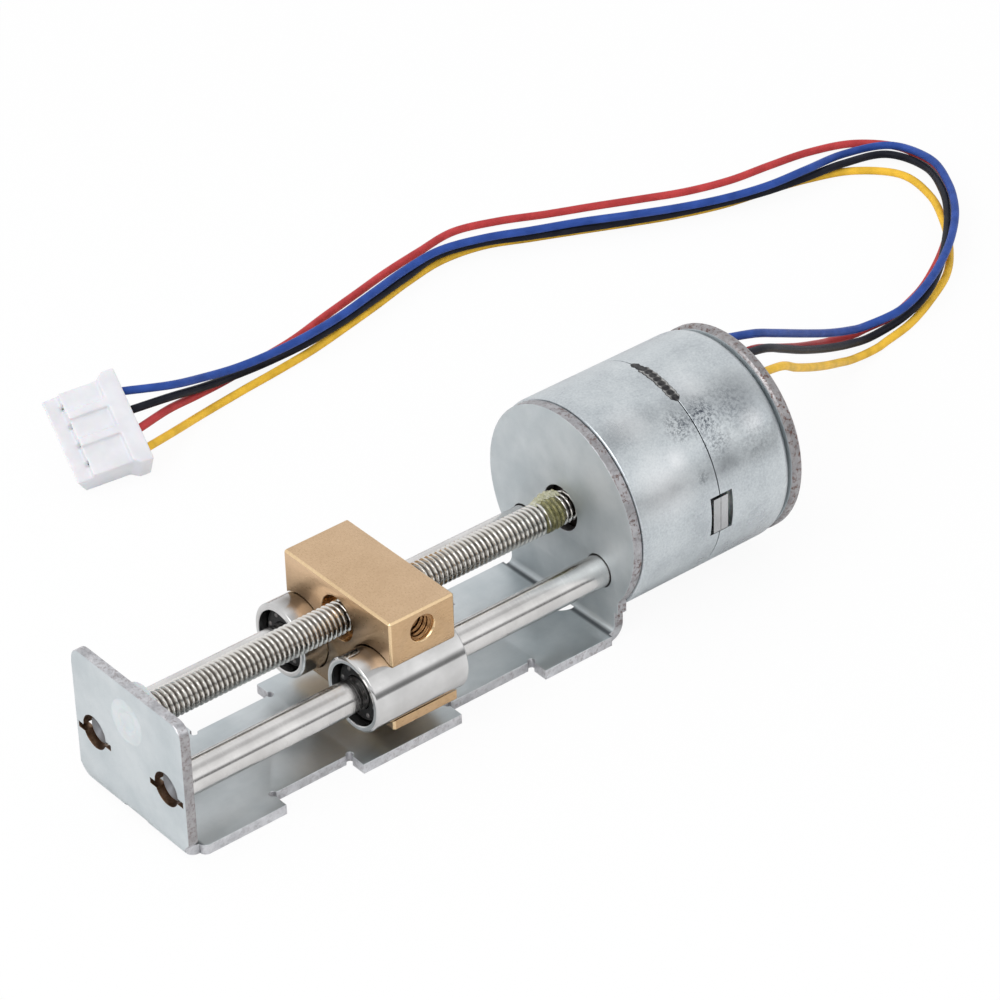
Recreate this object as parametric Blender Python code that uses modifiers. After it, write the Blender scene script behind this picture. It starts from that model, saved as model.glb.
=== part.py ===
"""Small motor-driven linear slide: a brass carriage on two guide rods, moved by a
lead screw that is the shaft of a round two-phase stepper motor.

Run with: blender --background --python part.py

Frame: +X runs along the screw from the front upright to the motor, +Y is the far side,
+Z is up. The origin lies on the underside of the bracket, half way between its uprights.
"""

import math

import bmesh
import bpy
import numpy as np
from mathutils import Matrix, Vector

MM = 0.001

# Running and seating clearances
SEAT_GAP = 0.05 * MM
RUNNING_GAP = 0.06 * MM
HOLE_GAP = 0.10 * MM
LEAD_GAP = 0.30 * MM

# Folded bracket
SHEET = 1.0 * MM
CLEAR_SPAN = 45.7 * MM
BEND_RADIUS = 0.6 * MM
FRONT_WIDTH = 15.5 * MM
FRONT_HEIGHT = 14.1 * MM
FRONT_CORNER_RADIUS = 1.3 * MM
FRONT_FOOT_WIDTH = 13.8 * MM
FRONT_FOOT_TOP = 1.1 * MM
FRONT_CHAMFER_TOP = 2.1 * MM
DISC_STEP = 0.2 * MM
NECK_WIDTH = 15.2 * MM
NECK_FOOT_WIDTH = 14.2 * MM
NECK_STEP_HEIGHT = 3.0 * MM
TAB_WIDTH = 15.1 * MM
WAIST_WIDTH = 11.2 * MM
FRONT_TAB_LENGTH = 8.6 * MM
MIDDLE_TAB_LENGTH = 10.7 * MM
MIDDLE_TAB_CENTRE = -0.1 * MM
REAR_TAB_LENGTH = 7.6 * MM
BEND_RELIEF = 1.65 * MM
TAB_CORNER_RADIUS = 0.6 * MM
NICK_RADIUS = 0.35 * MM
BASE_HOLE_DIAMETER = 4.0 * MM
BASE_HOLE_FROM_UPRIGHT = 0.3 * MM
BASE_HOLE_TOP = 1.05 * MM
SCREW_HOLE_DIAMETER = 4.4 * MM
STAKE_SLOT_LENGTH = 4.6 * MM
STAKE_SLOT_HEIGHT = 0.6 * MM
STAKE_SLOT_DROP = 0.35 * MM

# Axes above the bracket's underside
SCREW_HEIGHT = 10.5 * MM
ROD_HEIGHT = 6.5 * MM
ROD_SPACING = 10.2 * MM

# Guide rods and lead screw
ROD_DIAMETER = 3.0 * MM
ROD_RECESS = 0.65 * MM
SCREW_DIAMETER = 3.0 * MM
SCREW_TIP_DIAMETER = 2.0 * MM
SCREW_TIP_LENGTH = 1.5 * MM
SCREW_END_CHAMFER = 0.3 * MM
THREAD_PITCH = 0.5 * MM
THREAD_DEPTH_PER_PITCH = 0.6134
THREAD_SIDES = 8

# Acetal bush that carries the screw's front tip
BUSH_BODY_DIAMETER = 3.9 * MM
BUSH_FLANGE_DIAMETER = 5.6 * MM
BUSH_FLANGE_THICKNESS = 1.0 * MM
BUSH_SKIN = 0.5 * MM

# Carriage
CARRIAGE_REST = 1.6 * MM
BLOCK_LENGTH = 7.0 * MM
BLOCK_WIDTH = 14.7 * MM
BLOCK_TOP = 13.8 * MM
BLOCK_BOTTOM = 2.55 * MM
BLOCK_CHAMFER = 0.2 * MM
BLOCK_COUNTERBORE = 4.3 * MM
BLOCK_COUNTERBORE_DEPTH = 2.0 * MM
SIDE_HOLE_DIAMETER = 2.5 * MM
SIDE_HOLE_HEIGHT = 11.8 * MM
SIDE_HOLE_DEPTH = 4.5 * MM
SIDE_HOLE_MOUTH = 3.0 * MM
BEARING_DIAMETER = 7.0 * MM
BEARING_LENGTH = 10.0 * MM
BEARING_SHIFT = -1.1 * MM
BEARING_WALL = 0.6 * MM
BEARING_EDGE = 0.2 * MM
CAGE_RECESS = 0.7 * MM

# Motor shell
MOTOR_RADIUS = 10.0 * MM
MOTOR_WALL = 0.8 * MM
FRONT_CUP_LENGTH = 8.85 * MM
REAR_CUP_LENGTH = 8.55 * MM
FRONT_CUP_EDGE = 0.35 * MM
REAR_CUP_EDGE = 0.9 * MM
CUP_FACE_HOLE_DIAMETER = 6.0 * MM
KEY_WIDTH = 3.7 * MM
FRONT_WINDOW_DEPTH = 0.95 * MM
REAR_WINDOW_DEPTH = 1.25 * MM
KEY_CLEARANCE = 0.1 * MM
COVER_STEP = 0.1 * MM
COVER_THICKNESS = 1.25 * MM
COVER_EDGE = 0.2 * MM

# Stator and rotor
YOKE_THICKNESS = 0.8 * MM
BOBBIN_WALL = 0.5 * MM
WINDING_DEPTH = 2.0 * MM
TOOTH_COUNT = 5
TOOTH_THICKNESS = 0.6 * MM
TOOTH_ROOT_WIDTH = 2.6 * MM
TOOTH_TIP_WIDTH = 1.3 * MM
TOOTH_TIP_GAP = 0.7 * MM
TOOTH_CLEARANCE = 0.3 * MM
HUB_RADIUS = 2.4 * MM
HUB_OVERHANG = 0.2 * MM
AIR_GAP = 0.3 * MM
MOTOR_BUSH_LENGTH = 1.8 * MM
WASHER_RADIUS = 2.4 * MM
WASHER_THICKNESS = 0.25 * MM

# Lead exit and leads
EXIT_BLOCK_WIDTH = 7.4 * MM
EXIT_BLOCK_HEIGHT = 3.8 * MM
EXIT_BLOCK_PROUD = 1.6 * MM
EXIT_BLOCK_SHIFT = 1.0 * MM
EXIT_BLOCK_BELOW_RIM = 4.4 * MM
EXIT_FLANGE_RIM = 0.8 * MM
EXIT_CORNER_RADIUS = 0.4 * MM
EXIT_PLUG_BITE = 0.5 * MM
LEAD_DIAMETER = 0.8 * MM
LEAD_POINT_COUNT = 44

# Connector, four ways
PITCH = 2.0 * MM
WAYS = 4
HOUSING_WIDTH = 9.8 * MM
HOUSING_BODY_WIDTH = 8.8 * MM
HOUSING_LENGTH = 7.4 * MM
HOUSING_THICKNESS = 3.6 * MM
HOUSING_LIP = 1.2 * MM
HOUSING_LIP_TAPER = 0.7 * MM
HOUSING_STEP_LENGTH = 1.6 * MM
HOUSING_STEP_DEPTH = 0.95 * MM
CHANNEL_DEPTH = 0.4 * MM
RIB_WIDTH = 0.85 * MM
NEAR_RIB = -1.0 * MM
FAR_RIB = 1.9 * MM
CAVITY = 1.3 * MM
CONTACT_SIZE = 0.9 * MM
CONTACT_LENGTH = 4.6 * MM
CONTACT_INSET = 1.2 * MM
CONNECTOR_X = 7.6 * MM
CONNECTOR_Y = 43.8 * MM
CONNECTOR_ROLL = math.radians(33.3)
CONNECTOR_NOSE_DOWN = math.radians(5.4)
CONNECTOR_SWING = math.radians(-14.3)

# Facets round a circle
FINE = 48
MEDIUM = 32
COARSE = 20

# Places that follow from the sizes above
FRONT_INNER = -CLEAR_SPAN / 2
FRONT_OUTER = FRONT_INNER - SHEET
REAR_INNER = CLEAR_SPAN / 2
REAR_OUTER = REAR_INNER + SHEET
MOTOR_FRONT = REAR_OUTER + SEAT_GAP
SEAM = MOTOR_FRONT + FRONT_CUP_LENGTH
REAR_CUP_FRONT = SEAM + SEAT_GAP
REAR_CUP_BACK = REAR_CUP_FRONT + REAR_CUP_LENGTH
COVER_FRONT = REAR_CUP_BACK + SEAT_GAP
COVER_BACK = COVER_FRONT + COVER_THICKNESS
BORE_RADIUS = SCREW_DIAMETER / 2 + SEAT_GAP
DISC_RADIUS = MOTOR_RADIUS - DISC_STEP
COVER_RADIUS = MOTOR_RADIUS - COVER_STEP
BOBBIN_FLANGE_RADIUS = MOTOR_RADIUS - MOTOR_WALL - HOLE_GAP
WINDING_RADIUS = BOBBIN_FLANGE_RADIUS - LEAD_GAP
BOBBIN_TUBE_RADIUS = WINDING_RADIUS - WINDING_DEPTH - HOLE_GAP
BOBBIN_BORE_RADIUS = BOBBIN_TUBE_RADIUS - BOBBIN_WALL
MAGNET_RADIUS = BOBBIN_BORE_RADIUS - TOOTH_CLEARANCE - TOOTH_THICKNESS - AIR_GAP
EXIT_BLOCK_Z = SCREW_HEIGHT + COVER_RADIUS - EXIT_BLOCK_BELOW_RIM
LEAD_LOWEST = LEAD_DIAMETER / 2 + SEAT_GAP / 2
CONNECTOR_EDGE_DROP = (HOUSING_BODY_WIDTH / 2 * math.sin(CONNECTOR_ROLL)
                       + HOUSING_THICKNESS / 2 * math.cos(CONNECTOR_ROLL))
CONNECTOR_Z = (HOUSING_LENGTH * math.sin(CONNECTOR_NOSE_DOWN)
               + CONNECTOR_EDGE_DROP * math.cos(CONNECTOR_NOSE_DOWN) + SEAT_GAP)

# Routes of the four leads, in millimetres: out of the block, down to the table,
# round one loop and back to the connector
ROUTES = {
    "blue": [
        (44.6, 3.6, 17.00), (49.3, 4.2, 15.34), (53.4, 5.8, 12.87), (57.3, 7.6, 10.32), (61.2, 9.5, 7.74),
        (65.2, 11.3, 5.22), (69.0, 12.7, 3.18), (72.4, 13.7, 1.79), (76.4, 13.0, 2.31),
        (80.7, 14.1, 2.73), (84.9, 16.2, 2.91), (89.0, 19.0, 2.94), (92.7, 22.4, 2.94),
        (96.0, 26.8, 2.64), (98.3, 31.8, 2.31), (98.7, 38.0, 1.03), (93.5, 39.3, 1.51),
        (87.4, 38.4, 2.46), (82.5, 38.8, 2.34), (78.0, 40.3, 1.99), (73.4, 42.1, 1.93),
        (68.1, 43.4, 2.61), (64.4, 46.5, 1.93), (59.5, 48.2, 2.17), (54.7, 50.0, 2.37),
        (49.9, 51.1, 2.40), (45.1, 50.7, 2.20), (40.0, 49.2, 2.43), (35.3, 48.3, 2.19),
        (30.0, 47.1, 2.58), (25.5, 46.9, 2.59), (21.8, 47.1, 2.63), (17.6, 46.5, 3.67),
        (13.1, 45.3, 5.38), (8.4, 46.2, 6.32),
    ],
    "black": [
        (44.6, 1.0, 16.50), (49.0, 2.3, 14.80), (52.8, 4.1, 12.25), (56.6, 6.0, 9.58), (60.4, 8.0, 7.03),
        (64.3, 9.9, 4.63), (68.4, 11.6, 2.48), (72.7, 13.2, 0.69), (77.1, 13.4, 0.94), (81.0, 14.2, 1.63),
        (84.7, 16.3, 2.05), (88.4, 19.3, 2.17), (92.0, 22.7, 2.17), (95.1, 26.6, 2.11),
        (98.2, 32.3, 1.15), (97.5, 37.3, 0.76), (92.3, 38.2, 1.30), (87.3, 38.7, 1.30),
        (82.7, 39.7, 1.06), (77.9, 41.0, 1.06), (73.2, 42.6, 1.06), (68.7, 44.6, 1.06),
        (64.2, 46.7, 1.06), (59.7, 48.8, 1.12), (55.1, 50.8, 1.30), (50.3, 51.9, 1.30),
        (45.5, 50.8, 1.30), (40.6, 49.6, 1.33), (35.8, 48.5, 1.33), (30.9, 47.7, 1.36),
        (26.6, 48.5, 0.60), (21.8, 47.7, 1.39), (17.3, 46.5, 2.65), (12.9, 45.1, 4.26), (8.1, 44.5, 5.23),
    ],
    "red": [
        (44.6, 2.4, 15.60), (49.0, 3.8, 13.97), (52.8, 5.8, 11.51), (56.5, 7.9, 8.96), (60.2, 10.0, 6.44),
        (64.0, 12.1, 4.03), (67.9, 14.1, 1.75), (72.4, 14.9, 0.43), (77.3, 14.9, 0.43),
        (82.0, 16.3, 0.43), (85.6, 17.8, 1.15), (89.5, 20.4, 1.27), (93.3, 23.6, 1.27),
        (97.0, 28.0, 0.79), (99.6, 32.9, 0.43), (99.9, 37.7, 0.43), (96.9, 41.5, 0.43),
        (92.3, 43.3, 0.43), (87.4, 44.0, 0.43), (82.5, 44.5, 0.43), (77.7, 45.8, 0.43),
        (73.2, 47.8, 0.43), (68.7, 49.9, 0.43), (64.2, 51.9, 0.43), (59.7, 54.1, 0.43),
        (55.1, 55.5, 0.43), (50.2, 54.8, 0.43), (45.3, 53.9, 0.43), (40.5, 52.7, 0.43),
        (35.7, 51.5, 0.43), (30.9, 50.2, 0.43), (26.0, 49.4, 0.43), (21.2, 48.3, 0.80),
        (16.7, 46.6, 1.94), (12.3, 44.8, 3.24), (7.8, 42.9, 4.14),
    ],
    "yellow": [
        (44.6, -1.7, 15.90), (48.9, -0.1, 14.10), (52.5, 2.0, 11.36), (56.3, 4.1, 8.72),
        (60.1, 6.2, 6.23), (63.9, 8.4, 3.83), (67.9, 10.4, 1.61), (72.5, 11.7, 0.43), (77.4, 12.7, 0.43),
        (82.1, 14.6, 0.43), (86.5, 17.0, 0.43), (90.1, 20.4, 0.43), (93.1, 24.4, 0.43),
        (95.5, 28.8, 0.43), (96.2, 33.7, 0.43), (93.1, 37.5, 0.43), (88.5, 39.4, 0.43),
        (83.6, 40.5, 0.43), (78.7, 41.4, 0.43), (73.9, 43.0, 0.43), (69.4, 45.0, 0.43),
        (64.8, 47.2, 0.43), (60.3, 49.3, 0.43), (55.7, 51.4, 0.43), (50.8, 52.0, 0.43),
        (45.8, 51.1, 0.43), (41.0, 49.8, 0.43), (36.1, 48.6, 0.43), (31.2, 47.5, 0.43),
        (26.3, 46.8, 0.43), (21.3, 46.2, 0.43), (16.4, 45.2, 0.71), (11.9, 43.2, 1.84), (7.5, 41.2, 3.04),
    ],
}

LEAD_COLOURS = {
    "blue": (0.03, 0.08, 0.42, 1.0),
    "black": (0.02, 0.02, 0.025, 1.0),
    "red": (0.55, 0.04, 0.05, 1.0),
    "yellow": (0.85, 0.55, 0.03, 1.0),
}

# Rotations that lay a drawn outline or a turned profile in the part's frame
OUTLINE_TO_FRONT = Matrix(((0, 0, 1, 0), (1, 0, 0, 0), (0, 1, 0, 0), (0, 0, 0, 1)))
OUTLINE_TO_SIDE = Matrix(((1, 0, 0, 0), (0, 0, -1, 0), (0, 1, 0, 0), (0, 0, 0, 1)))
PROFILE_TO_SCREW_AXIS = Matrix.Rotation(math.radians(90), 4, "Y")


def clear_scene():
    """Remove every object and give the part and its cutters a collection each."""
    for thing in list(bpy.data.objects):
        bpy.data.objects.remove(thing, do_unlink=True)
    made = {}
    for title in ("linear_slide", "linear_slide_cutters"):
        made[title] = bpy.data.collections.new(title)
        bpy.context.scene.collection.children.link(made[title])
    return made["linear_slide"], made["linear_slide_cutters"]


PARTS, CUTTERS = clear_scene()


def finish_material(title, colour, roughness, metallic):
    """Make a Principled material of one colour."""
    made = bpy.data.materials.new(title)
    made.use_nodes = True
    shader = made.node_tree.nodes["Principled BSDF"]
    shader.inputs["Base Color"].default_value = colour
    shader.inputs["Roughness"].default_value = roughness
    shader.inputs["Metallic"].default_value = metallic
    return made


FINISHES = {
    "zinc_sheet": ((0.62, 0.66, 0.67, 1.0), 0.38, 1.0),
    "bright_steel": ((0.72, 0.70, 0.68, 1.0), 0.18, 1.0),
    "screw_steel": ((0.60, 0.57, 0.50, 1.0), 0.28, 1.0),
    "brass": ((0.70, 0.47, 0.26, 1.0), 0.36, 1.0),
    "white_resin": ((0.88, 0.88, 0.90, 1.0), 0.45, 0.0),
    "black_resin": ((0.03, 0.03, 0.03, 1.0), 0.50, 0.0),
    "copper_wire": ((0.60, 0.24, 0.10, 1.0), 0.40, 1.0),
    "ferrite": ((0.06, 0.06, 0.065, 1.0), 0.60, 0.0),
    "sintered_bronze": ((0.45, 0.30, 0.16, 1.0), 0.55, 1.0),
}


def place_in(thing, collection, parent=None):
    """Link an object to its collection, and under its parent if it has one."""
    collection.objects.link(thing)
    if parent is not None:
        thing.parent = parent
    return thing


def part(thing, finish, parent=None):
    """Add a finished piece of the slide, with its own material."""
    colour, roughness, metallic = FINISHES[finish] if isinstance(finish, str) else finish
    thing.data.materials.clear()
    thing.data.materials.append(finish_material(thing.name + "_finish", colour, roughness, metallic))
    return place_in(thing, PARTS, parent)


def cutter(thing, parent=None):
    """Add a shape that only cuts or joins another."""
    thing.hide_render = True
    thing.display_type = "WIRE"
    return place_in(thing, CUTTERS, parent)


def combine(target, other, operation):
    """Cut, join or intersect a piece with a helper shape."""
    step = target.modifiers.new(other.name, "BOOLEAN")
    step.operation = operation
    step.solver = "EXACT"
    step.object = other


def arc(centre, radius, start_deg, end_deg, steps):
    """Points along an arc, both ends included."""
    angles = np.radians(np.linspace(start_deg, end_deg, steps + 1))
    return [(centre[0] + radius * math.cos(a), centre[1] + radius * math.sin(a)) for a in angles]


def extruded(name, outlines, thickness, lay=Matrix.Identity(4), centre=(0, 0, 0)):
    """A flat plate drawn as closed outlines; inner outlines are holes. It is returned as a mesh."""
    drawing = bpy.data.curves.new(name + "_outline", "CURVE")
    drawing.dimensions = "2D"
    drawing.fill_mode = "BOTH"
    drawing.extrude = thickness / 2
    for points in outlines:
        spline = drawing.splines.new("POLY")
        spline.points.add(len(points) - 1)
        for slot, (u, v) in zip(spline.points, points):
            slot.co = (u, v, 0, 1)
        spline.use_cyclic_u = True
    sketch = bpy.data.objects.new(name + "_sketch", drawing)
    bpy.context.scene.collection.objects.link(sketch)
    depsgraph = bpy.context.evaluated_depsgraph_get()
    mesh = bpy.data.meshes.new_from_object(sketch.evaluated_get(depsgraph))
    bpy.data.objects.remove(sketch, do_unlink=True)
    shape = bmesh.new()
    shape.from_mesh(mesh)
    bmesh.ops.remove_doubles(shape, verts=shape.verts, dist=0.002 * MM)
    bmesh.ops.recalc_face_normals(shape, faces=shape.faces)
    shape.to_mesh(mesh)
    shape.free()
    mesh.name = name
    made = bpy.data.objects.new(name, mesh)
    made.matrix_world = Matrix.Translation(Vector(centre)) @ lay
    return made


def block(name, size, centre=(0, 0, 0)):
    """A box given by its three sides and its middle."""
    mesh = bpy.data.meshes.new(name)
    shape = bmesh.new()
    bmesh.ops.create_cube(shape, size=1.0)
    bmesh.ops.scale(shape, vec=size, verts=shape.verts)
    shape.to_mesh(mesh)
    shape.free()
    made = bpy.data.objects.new(name, mesh)
    made.location = centre
    return made


def rod_shape(name, radius, length, centre, along="X", facets=MEDIUM, end_radius=None):
    """A cylinder, or a cone when its far end has another radius, along X, Y or Z."""
    mesh = bpy.data.meshes.new(name)
    shape = bmesh.new()
    far = radius if end_radius is None else end_radius
    bmesh.ops.create_cone(shape, cap_ends=True, segments=facets, radius1=radius, radius2=far, depth=length)
    turns = {
        "X": Matrix.Rotation(math.radians(90), 3, "Y"),
        "Y": Matrix.Rotation(math.radians(-90), 3, "X"),
        "Z": Matrix.Identity(3),
    }
    bmesh.ops.transform(shape, matrix=turns[along].to_4x4(), verts=shape.verts)
    shape.to_mesh(mesh)
    shape.free()
    mesh.shade_smooth()
    mesh.set_sharp_from_angle(angle=math.radians(35))
    made = bpy.data.objects.new(name, mesh)
    made.location = centre
    return made


def turned(name, profile, centre_yz=(0.0, SCREW_HEIGHT), facets=FINE, closed=True):
    """A turned piece. The profile is a list of (radius, x) from its high-x end down the outside,
    and back along the bore when it is closed; an open one starts and ends on the axis."""
    mesh = bpy.data.meshes.new(name)
    corners = [(radius, 0.0, x) for radius, x in profile]
    edges = [(i, i + 1) for i in range(len(corners) - 1)]
    if closed:
        edges.append((len(corners) - 1, 0))
    mesh.from_pydata(corners, edges, [])
    made = bpy.data.objects.new(name, mesh)
    made.matrix_world = Matrix.Translation((0.0, centre_yz[0], centre_yz[1])) @ PROFILE_TO_SCREW_AXIS
    lathe = made.modifiers.new("lathe", "SCREW")
    lathe.axis = "Z"
    lathe.angle = math.radians(360)
    lathe.screw_offset = 0.0
    lathe.steps = facets
    lathe.render_steps = facets
    lathe.use_merge_vertices = True
    lathe.merge_threshold = 0.001 * MM
    lathe.use_smooth_shade = True
    return made


def sleeve(low, high, outer, inner, edge=0.0):
    """Profile of a tube between two x positions, with its outer corners broken."""
    if edge == 0.0:
        return [(outer, high), (outer, low), (inner, low), (inner, high)]
    return [
        (outer - edge, high), (outer, high - edge), (outer, low + edge), (outer - edge, low),
        (inner, low), (inner, high),
    ]


def bracket_strip():
    """The sheet folded up at both ends, wide enough for every outline that is cut from it."""
    outer = BEND_RADIUS + SHEET
    front_top = FRONT_HEIGHT
    rear_top = SCREW_HEIGHT + DISC_RADIUS
    side = [(FRONT_OUTER, front_top)]
    side += arc((FRONT_OUTER + outer, outer), outer, 180, 270, 6)
    side += arc((REAR_OUTER - outer, outer), outer, 270, 360, 6)
    side += [(REAR_OUTER, rear_top), (REAR_INNER, rear_top)]
    side += arc((REAR_INNER - BEND_RADIUS, outer), BEND_RADIUS, 360, 270, 4)
    side += arc((FRONT_INNER + BEND_RADIUS, outer), BEND_RADIUS, 270, 180, 4)
    side += [(FRONT_INNER, front_top)]
    return extruded("bracket", [side], 2.4 * DISC_RADIUS, OUTLINE_TO_SIDE)


def front_outline():
    """Front upright: round top corners, lower corners drawn in to the foot."""
    half = FRONT_WIDTH / 2
    foot = FRONT_FOOT_WIDTH / 2
    radius = FRONT_CORNER_RADIUS
    top = FRONT_HEIGHT + SHEET / 4
    right = [(foot, -SHEET), (foot, FRONT_FOOT_TOP), (half, FRONT_CHAMFER_TOP)]
    right += arc((half - radius, FRONT_HEIGHT - radius), radius, 0, 90, 6)
    return right + [(half - radius, top), (radius - half, top)] + [(-y, z) for y, z in reversed(right)]


def disc_outline():
    """Rear upright: a disc on a straight neck that steps in at the bend."""
    half = NECK_WIDTH / 2
    foot = NECK_FOOT_WIDTH / 2
    start = math.degrees(math.asin(half / DISC_RADIUS)) - 90
    points = [(-foot, -SHEET), (foot, -SHEET), (foot, NECK_STEP_HEIGHT), (half, NECK_STEP_HEIGHT)]
    points += arc((0.0, SCREW_HEIGHT), DISC_RADIUS, start, 180 - start, FINE)
    return points + [(-half, NECK_STEP_HEIGHT), (-foot, NECK_STEP_HEIGHT)]


def base_outline():
    """Base in plan: three tabs on each side, joined by a narrower waist."""
    tab = TAB_WIDTH / 2
    waist = WAIST_WIDTH / 2
    corner = TAB_CORNER_RADIUS
    front_tab = FRONT_OUTER + BEND_RELIEF
    rear_tab = REAR_OUTER - BEND_RELIEF
    middle = (MIDDLE_TAB_CENTRE - MIDDLE_TAB_LENGTH / 2, MIDDLE_TAB_CENTRE + MIDDLE_TAB_LENGTH / 2)
    far = arc((front_tab + corner, tab - corner), corner, 180, 90, 4)
    far += [(front_tab + FRONT_TAB_LENGTH, tab), (front_tab + FRONT_TAB_LENGTH, waist)]
    far += [(middle[0], waist), (middle[0], tab), (middle[1], tab), (middle[1], waist)]
    far += [(rear_tab - REAR_TAB_LENGTH, waist), (rear_tab - REAR_TAB_LENGTH, tab)]
    far += [(rear_tab, tab)]
    return far + [(x, -y) for x, y in reversed(far)]


def nick_places():
    """Inner corners of the tabs, where the blank has a small round relief."""
    front_tab = FRONT_OUTER + BEND_RELIEF + FRONT_TAB_LENGTH
    rear_tab = REAR_OUTER - BEND_RELIEF - REAR_TAB_LENGTH
    middle = MIDDLE_TAB_LENGTH / 2
    along = (front_tab, MIDDLE_TAB_CENTRE - middle, MIDDLE_TAB_CENTRE + middle, rear_tab)
    return [(x, side * WAIST_WIDTH / 2) for x in along for side in (-1, 1)]


def make_bracket():
    """Folded bracket: the strip, trimmed to its three outlines and drilled."""
    bracket = part(bracket_strip(), "zinc_sheet")
    stamp = 2.2 * SHEET + 2 * BEND_RADIUS
    front = cutter(extruded("front_blank", [front_outline()], stamp, OUTLINE_TO_FRONT,
                            (FRONT_OUTER - SHEET / 2 + stamp / 2, 0, 0)))
    rear = cutter(extruded("rear_blank", [disc_outline()], stamp, OUTLINE_TO_FRONT,
                           (REAR_OUTER + SHEET / 2 - stamp / 2, 0, 0)))
    base = cutter(extruded("base_blank", [base_outline()], 2.4 * SHEET, centre=(0, 0, SHEET / 2)))
    combine(front, base, "UNION")
    combine(front, rear, "UNION")
    combine(bracket, front, "INTERSECT")

    deep = 3 * SHEET
    front_middle = (FRONT_OUTER + FRONT_INNER) / 2
    rear_middle = (REAR_OUTER + REAR_INNER) / 2
    holes = [
        ("bush_hole", BUSH_BODY_DIAMETER / 2 + SEAT_GAP, (front_middle, 0, SCREW_HEIGHT)),
        ("screw_hole", SCREW_HOLE_DIAMETER / 2, (rear_middle, 0, SCREW_HEIGHT)),
    ]
    for side, y in (("left", ROD_SPACING / 2), ("right", -ROD_SPACING / 2)):
        holes.append(("front_rod_hole_" + side, ROD_DIAMETER / 2 + HOLE_GAP, (front_middle, y, ROD_HEIGHT)))
        holes.append(("rear_rod_hole_" + side, ROD_DIAMETER / 2 + HOLE_GAP, (rear_middle, y, ROD_HEIGHT)))
    for title, radius, place in holes:
        combine(bracket, cutter(rod_shape(title, radius, deep, place)), "DIFFERENCE")
    for side, y in (("left", ROD_SPACING / 2), ("right", -ROD_SPACING / 2)):
        slot = block("stake_slot_" + side, (deep, STAKE_SLOT_LENGTH, STAKE_SLOT_HEIGHT),
                     (front_middle, y, ROD_HEIGHT - STAKE_SLOT_DROP))
        combine(bracket, cutter(slot), "DIFFERENCE")
    drill = BASE_HOLE_TOP + SHEET
    for title, x in (("front", FRONT_INNER + BASE_HOLE_FROM_UPRIGHT),
                     ("rear", REAR_INNER - BASE_HOLE_FROM_UPRIGHT)):
        hole = rod_shape("base_hole_" + title, BASE_HOLE_DIAMETER / 2, drill,
                         (x, 0, BASE_HOLE_TOP - drill / 2), along="Z")
        combine(bracket, cutter(hole), "DIFFERENCE")
    for number, (x, y) in enumerate(nick_places(), 1):
        nick = rod_shape("nick_%d" % number, NICK_RADIUS, deep, (x, y, SHEET / 2), along="Z", facets=8)
        combine(bracket, cutter(nick), "DIFFERENCE")
    return bracket


def make_guide_rods():
    """Two ground rods, sunk a little below the front upright's face."""
    low = FRONT_OUTER + ROD_RECESS
    high = REAR_OUTER - SEAT_GAP
    for side, y in (("left", ROD_SPACING / 2), ("right", -ROD_SPACING / 2)):
        rod = turned("guide_rod_" + side, sleeve_solid(low, high, ROD_DIAMETER / 2, 0.2 * MM),
                     (y, ROD_HEIGHT), MEDIUM, closed=False)
        part(rod, "bright_steel")


def sleeve_solid(low, high, radius, edge):
    """Profile of a solid bar with both ends chamfered."""
    return [(0.0, high), (radius - edge, high), (radius, high - edge), (radius, low + edge),
            (radius - edge, low), (0.0, low)]


def make_front_bush():
    """Acetal bush: its blind face is flush with the upright and its flange bears on the inside."""
    flange_low = FRONT_INNER + SEAT_GAP
    flange_high = flange_low + BUSH_FLANGE_THICKNESS
    bore = SCREW_TIP_DIAMETER / 2 + SEAT_GAP
    bore_end = FRONT_OUTER + BUSH_SKIN
    profile = [
        (0.0, bore_end), (bore, bore_end), (bore, flange_high),
        (BUSH_FLANGE_DIAMETER / 2, flange_high), (BUSH_FLANGE_DIAMETER / 2, flange_low),
        (BUSH_BODY_DIAMETER / 2, flange_low), (BUSH_BODY_DIAMETER / 2, FRONT_OUTER), (0.0, FRONT_OUTER),
    ]
    part(turned("front_bush", profile, facets=MEDIUM, closed=False), "white_resin")


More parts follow.
